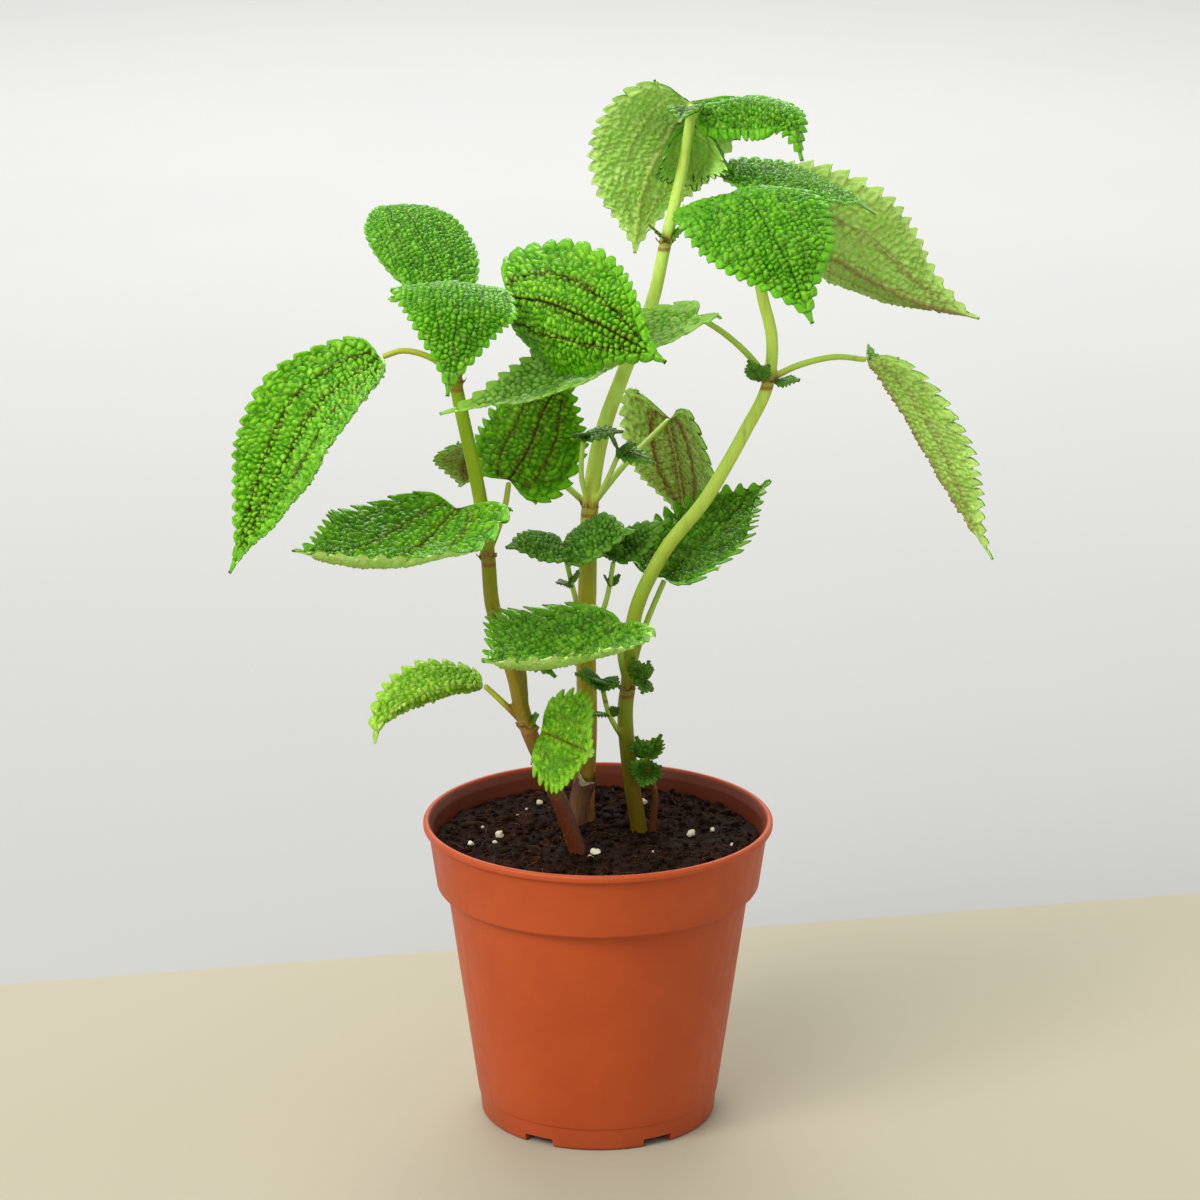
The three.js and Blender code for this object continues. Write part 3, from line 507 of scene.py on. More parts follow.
def leafMesh(bm, leaf, seed):
    leaf = {**leafDefaults, **leaf}
    rng = random.Random(seed)
    length, at = curvePath(leaf["spine"])
    face = leaf["face"]
    faceStart = Vector(face[0] if isinstance(face[0], list) else face)
    faceEnd = Vector(face[1] if isinstance(face[0], list) else face)
    lobes = leaf["lobe"] if isinstance(leaf["lobe"], list) else [leaf["lobe"], leaf["lobe"]]
    rows = max(12, round(length / leaf["spacing"]))
    columns = 2 * max(5, round(leaf["width"] / leaf["spacing"] / 2))
    teeth = round(leaf["teeth"] * leaf["teethMore"])
    shift = rng.random()
    halfWidth = leaf["width"] / 2
    pitch = leaf["pitch"]
    bandSlope, lateralPlace = 0.4, 0.43

    # middles of the blisters, flat on the blade: millimetres along it and across it
    # they stand in bands that slant back to the midrib, inside a row of bulges along the rim
    middles = []
    for sign in (-1, 1):
        for tooth in range(-3, teeth + 3):
            for column in range(math.ceil(halfWidth / pitch)):
                y = (column + 0.5 + rng.uniform(-0.3, 0.3)) * pitch
                for part in leaf["parts"]:
                    phase = tooth + part + rng.uniform(-0.16, 0.16)
                    x = length * phase / teeth - bandSlope * (halfWidth * 0.8 - y)
                    reach = halfWidth * leafOutline(min(max(x / length, 0), 1), leaf["belly"]) - leaf["rimBand"]
                    if 0 <= x <= length and y < reach - 0.2 * pitch:
                        middles.append((x, sign * y))
    if len(middles) < 2:
        middles = [(0, 0), (length, 0)]
    tones = [rng.random() for _ in middles]
    cells = kdtree.KDTree(len(middles))
    for i, (x, y) in enumerate(middles):
        cells.insert((x, y, 0), i)
    cells.balance()

    layers = {}
    for name in ("rib", "lateral", "cross", "cell", "knob", "rim", "tone"):
        layers[name] = bm.verts.layers.float.get(name) or bm.verts.layers.float.new(name)
    made = bmesh.ops.create_grid(bm, x_segments=columns, y_segments=rows, size=0.5)["verts"]
    relief = {}
    for vert in made:
        side = round(vert.co.x * 2, 6)
        step = vert.co.y + 0.5
        s = min(max(step, 0), 1) ** 1.1
        share = abs(side)
        edge = leafOutline(s, leaf["belly"])
        wave = toothShape(step * teeth, leaf["hook"])
        toothStep = leaf["teethDepth"] * leaf["tooth"] * wave * edge ** 0.3 * share ** 6
        sweep = 0.07 * math.sin(math.pi * s) - lobes[side > 0] * (1 - s) ** 6
        half = max(halfWidth * edge + toothStep, 0.55) * share
        along = s + (share * edge) ** 1.3 * sweep + max(toothStep, 0) * 0.7 * leaf["hook"] / length
        inside = min(max(along, 0), 1)
        spot, forward = at(inside)
        up = faceStart.lerp(faceEnd, inside)
        up = (up - up.project(forward)).normalized()
        toRight = forward.cross(up)
        inner, outer = leaf["left"] if side < 0 else leaf["right"]
        folded = 1 - leaf["openBase"] * max(0, 1 - 2.5 * s)
        tilt = folded * (inner + (outer - inner) * share / 2)
        across = math.copysign(half, side) if side else 0
        vert.co = spot + forward * (along - inside) * length
        vert.co += toRight * (across * math.cos(tilt)) + up * (half * math.sin(tilt))

        flatHalf = halfWidth * edge
        x, y = s * length, flatHalf * side
        bend = noise.noise_vector((x / pitch / 1.1, y / pitch / 1.1, seed)) * 0.42 * pitch
        near = cells.find_n((x + bend.x, y + bend.y, 0), 2)
        border = near[1][2] - near[0][2]
        tone = tones[near[0][1]]
        gaps = noise.voronoi((x / leaf["knob"], y / leaf["knob"], seed * 1.7))[0]
        knob = min(1, (gaps[1] - gaps[0]) / 0.55)
        rim = flatHalf - abs(y)
        beyond = rim - leaf["rimBand"]
        if beyond < 0:
            # a bulge for each tooth
            border = min((1 - abs(2 * (step * teeth % 1) - 1)) * length / teeth, 0.4 - 2 * beyond)
            tone = 0.3 + 0.6 * noise.noise((math.floor(step * teeth) * 1.7, shift * 9, side))
            knob = 0.25 + 0.75 * knob
        else:
            border = min(border, 0.4 + 2 * beyond)
        dome = math.sin(min(1, border / (0.85 * pitch)) * math.pi / 2) ** 0.8
        lateral = abs(y) - lateralPlace * flatHalf
        band = (s + bandSlope * (halfWidth * 0.8 - abs(y)) / length) * teeth
        cross = abs(band - round(band)) * length / teeth
        if beyond < 0:
            cross = 2
        fade = min(1, flatHalf / 5)
        groove = math.exp(-(y / 0.5) ** 2) * 0.5 + 0.35 * math.exp(-(lateral / 0.4) ** 2) * fade
        groove += leaf["ditch"] * math.exp(-(cross / 0.3) ** 2)
        waves = 0.35 * math.sin(x * 0.32 + shift * 6 + side) * share * fade
        waves += 0.3 * math.sin(7.3 * s + 5 * shift) * share ** 2 * fade
        low = leaf["blister"] * fade * min(1, 6 * (1 - s) + 0.2)
        relief[vert] = waves + low * (dome * (0.7 + 0.6 * tone) - 0.5 - groove + leaf["knobs"] * (knob - 0.6))
        narrow = max(1, 9 / max(flatHalf, 1))
        values = {
            "rib": y * narrow, "lateral": lateral * narrow if flatHalf > 3 else 4, "cross": cross,
            "cell": min(border, 1.2) if beyond < 0 else border, "knob": knob,
            "rim": rim + (0.2 if wave < 0 else 0), "tone": tone,
        }
        for name, value in values.items():
            vert[layers[name]] = value
    faces = list({face for vert in made for face in vert.link_faces})
    bmesh.ops.recalc_face_normals(bm, faces=faces)
    bm.normal_update()
    middle = min(made, key=lambda vert: vert[layers["rib"]] ** 2 + (vert[layers["rim"]] - halfWidth) ** 2)
    if middle.normal.dot(faceStart.lerp(faceEnd, 0.4)) < 0:
        bmesh.ops.reverse_faces(bm, faces=faces)
        bm.normal_update()
    normals = {vert: vert.normal.copy() for vert in made}
    for vert, height in relief.items():
        vert.co += normals[vert] * height
    return leaf


def makeLeaf(name, leaf, number):
    bm = bmesh.new()
    leaf = leafMesh(bm, leaf, number)
    finishes = [upperFinish[leaf.get("upper", "fresh")], underFinish[leaf.get("under", "pale")]]
    return thicken(makePiece(bm, "blade_" + name, finishes, ["leaf_" + name]), leaf["thickness"], 1)


blades = {name: makeLeaf(name, leaf, 11 + i) for i, (name, leaf) in enumerate(leaves.items())}
print("leaves made:", len(blades))

# Stems and side shoots

stems = {
    "a": {
        "route": [
            [-3, -13, 73], [-6, -13, 86.5], [-14, -13, 109], [-21.5, -12, 127], [-24.5, -11, 140],
            [-27.5, -10.5, 150], [-31, -10, 162], [-32.3, -10, 178], [-34.5, -9.5, 195], [-41, -9, 228],
            [-44.8, -8, 252],
        ],
        "radii": [2.7, 1.8], "knots": [[-21, -12, 125.5], [-32.3, -10, 177], [-41.2, -9, 229]],
        "petioles": [
            [[-21, -12, 125.5], [-28, -12.5, 133], [-34, -13, 139]],
            [[-21, -12, 125.5], [-19, -13.5, 126], [-17, -15, 125]],
            [[-32.3, -10, 177], [-37, -8.5, 188], [-41, -16, 193]],
            [[-32.3, -10, 177], [-27.5, -3, 189], [-26, 2, 197]],
            [[-41.2, -9, 229], [-47, -9, 235.5], [-56, -8, 238], [-63, -8, 236]],
            [[-41.2, -9, 229], [-34, -8, 243], [-26.6, -9, 253.2]],
            [[-44.8, -8, 250], [-44.5, -5, 254], [-44, -3, 256]],
            [[-44.8, -8, 250], [-45, -10.5, 255], [-45, -13, 258]],
        ],
        "twigs": [[[-21, -12, 126], [-22, -10, 143], [-23.2, -10, 148]]],
        "leaflets": [[[-20, -12, 126], [-17.5, -17, 130.5], [0.6, -0.6, 0.5], 4]],
    },
    "b": {
        "route": [
            [-4.5, 15, 73], [-4.6, 15, 90], [-3.4, 15, 120], [-3.6, 14, 141], [-3, 13, 166], [-2.4, 12, 184.5],
            [0.9, 11, 207], [7.9, 10, 228], [15.8, 10, 248], [19.5, 10, 265], [24.3, 10, 287], [27, 10, 304],
        ],
        "radii": [3.5, 1.5], "knots": [[-2.3, 12, 186], [19.8, 10, 266.5]],
        "petioles": [
            [[-2.3, 12, 186], [-12, 18, 193], [-25, 26, 200]], [[-2.3, 12, 186], [8, 24, 196], [21.8, 45, 205]],
            [[19.8, 10, 266.5], [27, 15, 271], [38, 25, 271], [50, 38.5, 266.8]],
            [[27, 10, 302], [27.2, 12, 304.5], [26.5, 13.8, 306.5]],
            [[27, 10, 302], [28.5, 8.5, 304.5], [30.5, 7, 306.5]],
            [[26.7, 10, 299], [27.3, 12.5, 300.5], [27.3, 15, 300]],
            [[27, 10, 302], [26.3, 8.5, 304.5], [25.5, 6.5, 306]],
        ],
        "twigs": [
            [[-2.5, 11, 186], [-4.9, 7, 197], [-4.4, 5, 208]], [[-1.8, 11, 186], [3, 4, 197], [5.9, 1, 204.7]],
            [[-4.5, 12, 149], [-7.7, 6, 163.7], [-10, 2, 175.5]], [[-1, 12, 147], [2.7, 5, 160.2], [4.6, 4, 171.5]],
        ],
        "leaflets": [
            [[-7.8, 6, 164], [-12.3, 3, 165.2], [-0.3, -0.4, 0.8], 4],
            [[-7.8, 6, 164], [-6, 3, 169], [0.6, -0.7, 0.3], 3.5],
            [[3.4, 5, 164], [1.8, 2.5, 167.5], [-0.6, -0.5, 0.5], 3],
            [[3.4, 5, 164], [6.4, 4, 167.5], [0.6, -0.5, 0.5], 3],
            [[19.8, 10, 267], [15, 6, 272], [-0.4, -0.4, 0.7], 5],
            [[19.8, 10, 267], [25.2, 6.5, 271], [0.4, -0.5, 0.7], 4.5],
        ],
    },
    "c": {
        "route": [
            [13.4, 4, 73], [12.4, 4, 86], [9.6, 2, 106], [8, 0, 126], [8.9, 0, 135], [11.2, 0, 157.7],
            [19.7, 0, 176], [31.4, 0, 191.4], [42.9, 0, 212], [49.2, 0, 225.4], [50.6, 1, 239], [47.5, 2, 253],
            [43.5, 1.5, 279],
        ],
        "radii": [2.6, 1.6], "knots": [[8.7, 0, 133.5], [49.6, 0, 227.5]],
        "petioles": [
            [[8.7, 0, 133.5], [13.5, 4, 150], [20, 6, 166]], [[8.7, 0, 133.5], [6.5, -4, 146], [7, -8, 156]],
            [[49.6, 0, 227.5], [43.5, -2, 235.5], [36.5, -4.5, 242.3], [28.5, -6.5, 248]],
            [[49.6, 0, 227.5], [58, 1, 231.5], [69, 1.5, 234], [79, 2, 233]],
            [[43.5, 1.5, 276], [41, -0.5, 281], [38, -3, 283]],
            [[43.5, 1.5, 276], [44.5, 3.5, 281], [44.5, 6, 282]],
        ],
        "twigs": [[[9, 1, 115], [3.3, -5, 127], [1.2, -6, 136]]],
        "leaflets": [
            [[3.3, -5, 127], [-2.1, -8, 127.6], [-0.2, -0.3, 0.9], 2.6],
            [[3.5, -5, 127], [6.2, -8.5, 130], [0.3, -0.8, 0.4], 3],
        ],
    },
    "d": {
        "route": [[16.8, 6, 73], [16.4, 6, 86.3], [17, 3.5, 99], [15, 1, 107], [14.4, -1, 113]],
        "radii": [1.3, 0.9], "knots": [], "petioles": [], "twigs": [],
        "leaflets": [
            [[14.8, 1, 107], [9.3, -6, 112.5], [-0.2, -0.9, 0.3], 6],
            [[14.8, 1, 107], [13, -6.5, 104.5], [-0.1, -0.9, 0.2], 6.5],
            [[14.8, 1, 107], [19, -3, 110], [0.4, -0.8, 0.3], 6.5],
            [[14.2, -1, 112], [18.8, -4.5, 120.5], [0.4, -0.8, 0.3], 7.5],
            [[14.2, -1, 112], [11.4, -5, 120], [-0.2, -0.9, 0.3], 7],
        ],
    },
}

cutStub = {"route": [[-7.2, 14, 73], [-6.4, 13.5, 86], [-4.8, 12.5, 96.5], [-2.6, 11, 102.5]], "radii": [3.6, 3.1]}

# each shoot: its bud, and the tip, face and width of each leaflet that starts there
shoots = {
    "b_left": {
        "bud": [-4.4, 5, 209.4],
        "leaflets": [[[7.3, 0, 212], [0, -0.4, 0.9], 6.5], [[-6.5, -2, 211.5], [-0.3, -0.5, 0.8], 5]],
    },
    "b_right": {
        "bud": [6.1, 0.8, 206],
        "leaflets": [
            [[3.6, -4, 211.5], [-0.5, -0.6, 0.6], 5], [[11, -3, 209], [0.2, -0.6, 0.8], 4.5],
            [[16.5, -4.5, 203.5], [0.2, -0.5, 0.8], 6.5],
        ],
    },
    "b_low_left": {
        "bud": [-10.2, 1.8, 176.8],
        "leaflets": [[[11, -4, 183], [-0.15, -0.5, 0.85], 19], [[-27, -6, 178.5], [-0.1, -0.45, 0.9], 16]],
    },
    "b_low_right": {
        "bud": [4.8, 4, 172.9],
        "leaflets": [
            [[-0.5, -1, 175.5], [-0.3, -0.5, 0.8], 5], [[21.5, 7.5, 183.5], [-0.3, -0.7, 0.7], 10],
            [[5, 0, 179], [0, -0.9, 0.4], 4.5],
        ],
    },
    "c_low_left": {
        "bud": [1.1, -6, 137.4],
        "leaflets": [
            [[-6.7, -10, 141], [-0.3, -0.5, 0.8], 7.5], [[6.6, -10, 137], [0.3, -0.7, 0.7], 6.5],
            [[-1, -12, 139.5], [0, -0.5, 0.8], 5],
        ],
    },
    "c_node": {
        "bud": [13.8, -2.6, 137],
        "leaflets": [
            [[13, -7, 134], [0.3, -0.9, 0.3], 6], [[10.2, -5, 144.5], [-0.3, -0.9, 0.2], 6],
            [[15, -3, 143], [0.5, -0.8, 0.2], 4],
        ],
    },
    "c_high_left": {
        "bud": [46.7, -3, 228.5],
        "leaflets": [[[43.6, -5.5, 234.6], [-0.4, -0.7, 0.5], 5], [[49.5, -7, 233.5], [0.2, -0.8, 0.5], 4]],
    },
    "c_high_right": {"bud": [52.1, -2.6, 227.5], "leaflets": [[[58.4, -6, 228.8], [0.3, -0.6, 0.7], 4]]},
    "a_low": {
        "bud": [-22.9, -10.8, 149.4],
        "leaflets": [[[-12.4, -18, 142.5], [0.4, -0.6, 0.6], 8], [[-23, -14, 154], [0, -0.8, 0.5], 5]],
    },
}

stemLooks = {
    "a": {"foot": colour(92, 40, 14), "skin": colour(146, 130, 0), "top": colour(132, 168, 0),
          "petiole": colour(172, 180, 50), "rise": (0.1, 0.165)},
    "b": {"foot": colour(146, 92, 34), "skin": colour(176, 160, 4), "top": colour(200, 234, 106),
          "petiole": colour(184, 214, 96), "rise": (0.085, 0.17)},
    "c": {"foot": colour(112, 94, 4), "skin": colour(134, 158, 2), "top": colour(194, 222, 92),
          "petiole": colour(172, 206, 74), "rise": (0.09, 0.165)},
    "d": {"foot": colour(112, 60, 24), "skin": colour(124, 78, 22), "top": colour(116, 112, 20),
          "petiole": colour(124, 78, 22), "rise": (0.09, 0.11)},
}


def stemFinish(name, look):
    finish = newFinish("stem_" + name)
    height = axes()["Z"]
    low, high = look["rise"]
    long = grain(260, 4, 0.65, (1, 1, 0.16))
    fine = grain(1100)
    knot = painted("knot")
    ring = sums("ABSOLUTE", sums("ADD", knot, 2.2))
    # the foot stays plain, without light streaks and patches
    above = ramp(height, low, low + 0.025)
    body = layered(
        look["foot"],
        (ramp(height, low, (low + high) / 2 + 0.02), look["skin"]),
        (ramp(height, high - 0.03, high + 0.06), look["top"]),
        (sums("MULTIPLY", ramp(long, 0.5, 0.7, 0, 0.35), above), look["skin"]),
        (sums("MULTIPLY", ramp(grain(90, 2), 0.55, 0.75, 0, 0.4), above), colour(168, 190, 50)),
        (ramp(painted("away"), 3.2, 6), look["petiole"]),
        (ramp(long, 0.28, 0.42, 0.4, 0), look["foot"]),
        (ramp(sums("ABSOLUTE", knot), 1.5, 4, 0.45, 0), colour(150, 110, 36)),
        (ramp(ring, 0.3, 0.8, 0.65, 0), colour(140, 58, 26)),
        (ramp(fine, 0.6, 0.75, 0, 0.4), colour(186, 180, 80)),
    )
    return dress(finish, {
        "Base Color": body, "Roughness": ramp(fine, 0.3, 0.7, 0.32, 0.5), "Specular IOR Level": 0.35,
        "Subsurface Weight": 0.1, "Subsurface Radius": (0.6, 0.8, 0.1), "Subsurface Scale": 0.0008,
        "Normal": bumps(sums("ADD", long, fine), 0.00025, 0.8),
    })


def stubFinish():
    finish = newFinish("old_stub")
    long = grain(240, 5, 0.7, (1, 1, 0.12))
    bark = mix(ramp(long, 0.35, 0.65), colour(74, 44, 26), colour(126, 86, 50))
    wood = mix(ramp(grain(500), 0.4, 0.6), colour(122, 116, 84), colour(164, 152, 116))
    body = mix(ramp(painted("cut"), 0.3, 0.7), bark, wood)
    return dress(finish, {"Base Color": body, "Roughness": 0.75, "Normal": bumps(long, 0.0004)})


youngFinish = leafFinish("young_leaf", leafLook(
    (20, 78, 2), (66, 134, 20), (22, 74, 4), (104, 168, 50), (14, 44, 0), (60, 62, 10), (116, 162, 60),
    fuzz=0.06, gloss=0.4, ribShare=0.3, lateralShare=0, crossShare=0))


def shortened(points, gap):
    end = Vector(points[-1])
    back = (Vector(points[-2]) - end).normalized() * gap
    return points[:-1] + [list(end + back)]


def smallLeaf(bm, root, tip, face, width, seed):
    large = width > 8
    middle = Vector(root).lerp(Vector(tip), 0.5) + Vector(face) * width * 0.12
    leafMesh(bm, {
        "spine": [root, list(middle), tip], "face": face, "width": width, "left": [0.1, -0.5], "right": [0.1, -0.5],
        "tooth": 0.55, "lobe": 0.05, "teeth": 4 if large else 3, "blister": 1 if large else 0.65,
        "pitch": 1.5 if large else 1.2, "rimBand": 1.1, "knob": 0.9, "spacing": 0.28,
    }, seed)


def solidBlades(bm, name, finish, nodes, thickness):
    return thicken(makePiece(bm, name, [finish], nodes), thickness)


def scaleFinish():
    finish = newFinish("dry_scale")
    fine = grain(900, 4)
    body = mix(ramp(fine, 0.35, 0.65), colour(118, 62, 26), colour(166, 140, 62))
    return dress(finish, {"Base Color": body, "Roughness": 0.6, "Normal": bumps(fine, 0.0002, 0.8)})


dryScale = scaleFinish()


def makeScales(name, knots, radius, rng):
    # short dry scales stand around every knot
    bm = bmesh.new()
    for i, spot in enumerate(knots):
        for turn in (0.9, 3.0, 4.3, 5.4):
            out = Vector((math.cos(turn + 0.4 * i), math.sin(turn + 0.4 * i), 0))
            root = Vector(spot) + out * radius * 0.9 + Vector((0, 0, -0.6))
            tip = root + out * rng.uniform(1.2, 2) + Vector((0, 0, rng.uniform(1.4, 2.8)))
            leafMesh(bm, {
                "spine": [list(root), list(root.lerp(tip, 0.5) + out * 0.3), list(tip)], "face": list(out),
                "width": 2.4, "tooth": 0.2, "lobe": 0, "teeth": 2, "blister": 0.2, "rimBand": 0.3, "spacing": 0.25,
            }, 90 + i)
    solidBlades(bm, "scales_" + name, dryScale, ["stem_" + name], 0.25)


stalks = {"petiole": (1.1, 0.9), "twig": (0.95, 0.8), "gap": 0.9, "knot": 1.42, "sides": 12, "spacing": 0.5,
          "voxel": 0.00042}


def makeStem(name, stem):
    bm = bmesh.new()
    rng = random.Random(name)
    startRadius, endRadius = stem["radii"]
    ridge = rng.random() * 6

    def ribbed(share, turn):
        return 1 + 0.05 * math.sin(3 * turn + ridge + 4 * share) + 0.03 * math.sin(7 * turn + 9 * share)

    tubeThrough(bm, stem["route"], startRadius, endRadius, 24, 0.6, ribbed)
    for points in stem["petioles"]:
        tubeThrough(bm, shortened(points, stalks["gap"]), *stalks["petiole"], stalks["sides"], stalks["spacing"])
    for points in stem["twigs"]:
        tubeThrough(bm, points, *stalks["twig"], stalks["sides"], stalks["spacing"])
    for spot in stem["knots"]:
        turn = Matrix.Translation(spot) @ Matrix.Diagonal((1, 1, 0.72, 1))
        bmesh.ops.create_icosphere(bm, subdivisions=3, radius=endRadius * stalks["knot"], matrix=turn)
    piece = makePiece(bm, "stalk_" + name, [stemFinish(name, stemLooks[name])], ["stem_" + name])
    fuse = piece.modifiers.new("fuse", "REMESH")
    fuse.mode = "VOXEL"
    fuse.voxel_size = stalks["voxel"]
    fuse.use_smooth_shade = True
    soften = piece.modifiers.new("soften", "SMOOTH")
    soften.factor = 0.5
    soften.iterations = 3
    mesh = applied(piece)
    # height above the nearest knot on the stalk, in millimetres
    heights = [spot[2] for spot in stem["knots"]] or [0]
    knot = mesh.attributes.new("knot", "FLOAT", "POINT")
    knot.data.foreach_set("value", [
        min((vert.co.z * 1000 - height for height in heights), key=abs) for vert in mesh.vertices
    ])
    length, at = curvePath(stem["route"])
    steps = round(length)
    routeTree = kdtree.KDTree(steps + 1)
    for i in range(steps + 1):
        routeTree.insert(at(i / steps)[0] / 1000, i)
    routeTree.balance()
    away = mesh.attributes.new("away", "FLOAT", "POINT")
    away.data.foreach_set("value", [routeTree.find(vert.co)[2] * 1000 for vert in mesh.vertices])

    if stem["leaflets"]:
        bm = bmesh.new()
        for i, leaflet in enumerate(stem["leaflets"]):
            smallLeaf(bm, *leaflet, 70 + i)
        solidBlades(bm, "leaflets_" + name, youngFinish, ["stem_" + name], 0.4)
    if stem["knots"]:
        makeScales(name, stem["knots"], endRadius, rng)


for name, stem in stems.items():
    makeStem(name, stem)
print("stems made:", len(stems))


def makeStub():
    bm = bmesh.new()
    cut = bm.verts.layers.float.new("cut")

    def bark(share, turn):
        ridges = 0.06 * math.sin(5 * turn + 3 * share) + 0.03 * math.sin(13 * turn)
        return 1 + ridges + 0.05 * noise.noise((turn, share * 6, 3))

    tubeThrough(bm, cutStub["route"], *cutStub["radii"], 40, 0.4, bark)
    top = Vector(cutStub["route"][-1])
    slope = Vector((-0.15, -0.75, 0.65)).normalized()
    for vert in bm.verts:
        beyond = (vert.co - top - Vector((0, 0, 0.6))).dot(slope)
        if beyond > 0:
            vert.co -= slope * beyond
            vert[cut] = 1
    makePiece(bm, "stub", [stubFinish()], ["stem_b"])


makeStub()


def makeShoot(name, shoot, seed):
    bm = bmesh.new()
    for i, leaflet in enumerate(shoot["leaflets"]):
        smallLeaf(bm, shoot["bud"], *leaflet, seed * 10 + i)
    piece = solidBlades(bm, "tuft_" + name, youngFinish, ["shoot_" + name], 0.6)
    bm = bmesh.new()
    bmesh.ops.create_icosphere(bm, subdivisions=3, radius=0.95, matrix=Matrix.Translation(shoot["bud"]))
    makePiece(bm, "bud_" + name, [youngFinish], ["shoot_" + name])
    return piece


tufts = {name: makeShoot(name, shoot, 20 + i) for i, (name, shoot) in enumerate(shoots.items())}
print("side shoots made:", len(tufts))

# Fine white hairs

hairs = {
    "downy": {"on": ["a7", "a8", "c5", "c6", "b5"], "each": 1200, "length": 0.7, "width": 0.024},
    "sparse": {"on": ["a3", "c2", "c3", "a1", "a2"], "each": 500, "length": 0.7, "width": 0.022},
}
tuftHair = {"each": 160, "length": 0.6, "width": 0.02}


def hairFinish():
    finish = newFinish("hair")
    body = mix(grain(800), colour(214, 222, 190), colour(240, 244, 226))
    return dress(finish, {"Base Color": body, "Roughness": 0.5, "Subsurface Weight": 0.1})


whiteHair = hairFinish()


def hairSpots(piece, count, rng):
    # spots on the upper face only
    polygons = piece.data.polygons
    chosen = []
    while len(chosen) < count:
        face = polygons[rng.randrange(len(polygons))]
        if not face.material_index:
            chosen.append((face.center.copy(), face.normal.copy()))
    return chosen


def makeHairs(piece, name, hair, nodes, seed):
    spots = hairSpots(piece, hair["each"], random.Random(seed))
    rng = random.Random(seed + 100)
    bm = bmesh.new()
    bmesh.ops.create_cone(bm, cap_ends=True, segments=3, radius1=hair["width"], radius2=0, depth=1)
    while len(bm.verts) < 4 * len(spots):
        bmesh.ops.duplicate(bm, geom=bm.verts[:] + bm.edges[:] + bm.faces[:])
    done = set()
    spare = []
    for vert in bm.verts:
        if vert in done:
            continue
        spike = [vert] + [edge.other_vert(vert) for edge in vert.link_edges]
        done.update(spike)
        if not spots:
            spare += spike
            continue
        spot, normal = spots.pop()
        lean = normal + Vector([rng.uniform(-0.6, 0.6) for _ in range(3)])
        turn = lean.to_track_quat("Z", "Y")
        tall = hair["length"] * rng.uniform(0.6, 1.25)
        for corner in spike:
            local = corner.co.copy()
            local.z = (local.z + 0.4) * tall
            corner.co = spot * 1000 + turn @ local
    bmesh.ops.delete(bm, geom=spare, context="VERTS")
    makePiece(bm, "hairs_" + name, [whiteHair], nodes)


for hair in hairs.values():
    for i, name in enumerate(hair["on"]):
        makeHairs(blades[name], name, hair, ["leaf_" + name], 300 + i)
for i, (name, tuft) in enumerate(tufts.items()):
    makeHairs(tuft, name, tuftHair, ["shoot_" + name], 500 + i)
print("hairs made")

# Pot

pot = {
    "height": 93, "rimRadius": 52.5, "bandBottomRadius": 48.5, "bandTopRadius": 50.9, "bandBottom": 72.4,
    "bodyTopRadius": 45.4, "bodyBottomRadius": 36.5, "footHeight": 7, "footRadius": 35.6, "footInner": 32.8,
    "wall": 1.4, "floorUnder": 2.6, "floorTop": 4, "padRadius": 8, "sides": 160,
    "notchWidth": 9.5, "notchHeight": 2.6, "notches": 6, "drainRadius": 3.2, "drainRing": 22, "drains": 6,
}


def potFinish():
    finish = newFinish("pot_plastic")
    x, y, z = axes()
    cloud = grain(26, 4)
    speck = grain(520, 3, 0.7)
    scuff = grain(150, 5, 0.75, (1, 1, 0.25))
    # painted shade on the inside of the rim band, up to the lip
    flat = sums("SQRT", sums("ADD", sums("POWER", x, 2), sums("POWER", y, 2)))
    inward = sums("SUBTRACT", flat, sums("MULTIPLY", z, 0.136))
    dustAndShade = sums("MULTIPLY", ramp(inward, 0.0379, 0.0384, 0.8, 0), ramp(z, 0.0738, 0.0748))
    body = layered(
        colour(176, 72, 30),
        (ramp(cloud, 0.3, 0.7), colour(186, 79, 34)),
        (ramp(speck, 0.62, 0.78, 0, 0.3), colour(196, 92, 44)),
        (ramp(scuff, 0.62, 0.8, 0, 0.25), colour(156, 72, 38)),
        (ramp(z, 0, 0.012, 0.25, 0), colour(120, 58, 34)),
        # painted shade on the inner wall of the rim band
        (dustAndShade, colour(72, 30, 14)),
    )
    return dress(finish, {
        "Base Color": body, "Roughness": ramp(scuff, 0.3, 0.75, 0.4, 0.56), "Specular IOR Level": 0.28,
        "Normal": bumps(sums("ADD", speck, cloud), 0.00008, 0.5),
    })


def spun(profile, sides):
    bm = bmesh.new()
    line = [bm.verts.new((radius, 0, z)) for radius, z in profile]
    edges = [bm.edges.new(pair) for pair in zip(line, line[1:])]
    bmesh.ops.spin(bm, geom=line + edges, cent=(0, 0, 0), axis=(0, 0, 1), angle=2 * math.pi, steps=sides,
                   use_merge=True)
    bmesh.ops.remove_doubles(bm, verts=bm.verts, dist=0.001)
    bmesh.ops.recalc_face_normals(bm, faces=bm.faces)
    return bm


def rounded(profile, radius=0.35):
    # each inner corner of the profile is replaced by a small arc
    points = [Vector((x, z, 0)) for x, z in profile]
    result = [points[0]]
    for before, corner, after in zip(points, points[1:], points[2:]):
        back, on = (before - corner), (after - corner)
        cut = min(radius, back.length * 0.4, on.length * 0.4)
        if corner.x < 0.01 or cut < 0.02:
            result.append(corner)
            continue
        first, last = corner + back.normalized() * cut, corner + on.normalized() * cut
        result += interpolate_bezier(first, first.lerp(corner, 0.6), last.lerp(corner, 0.6), last, 4)
    result.append(points[-1])
    return [(point.x, point.y) for point in result]


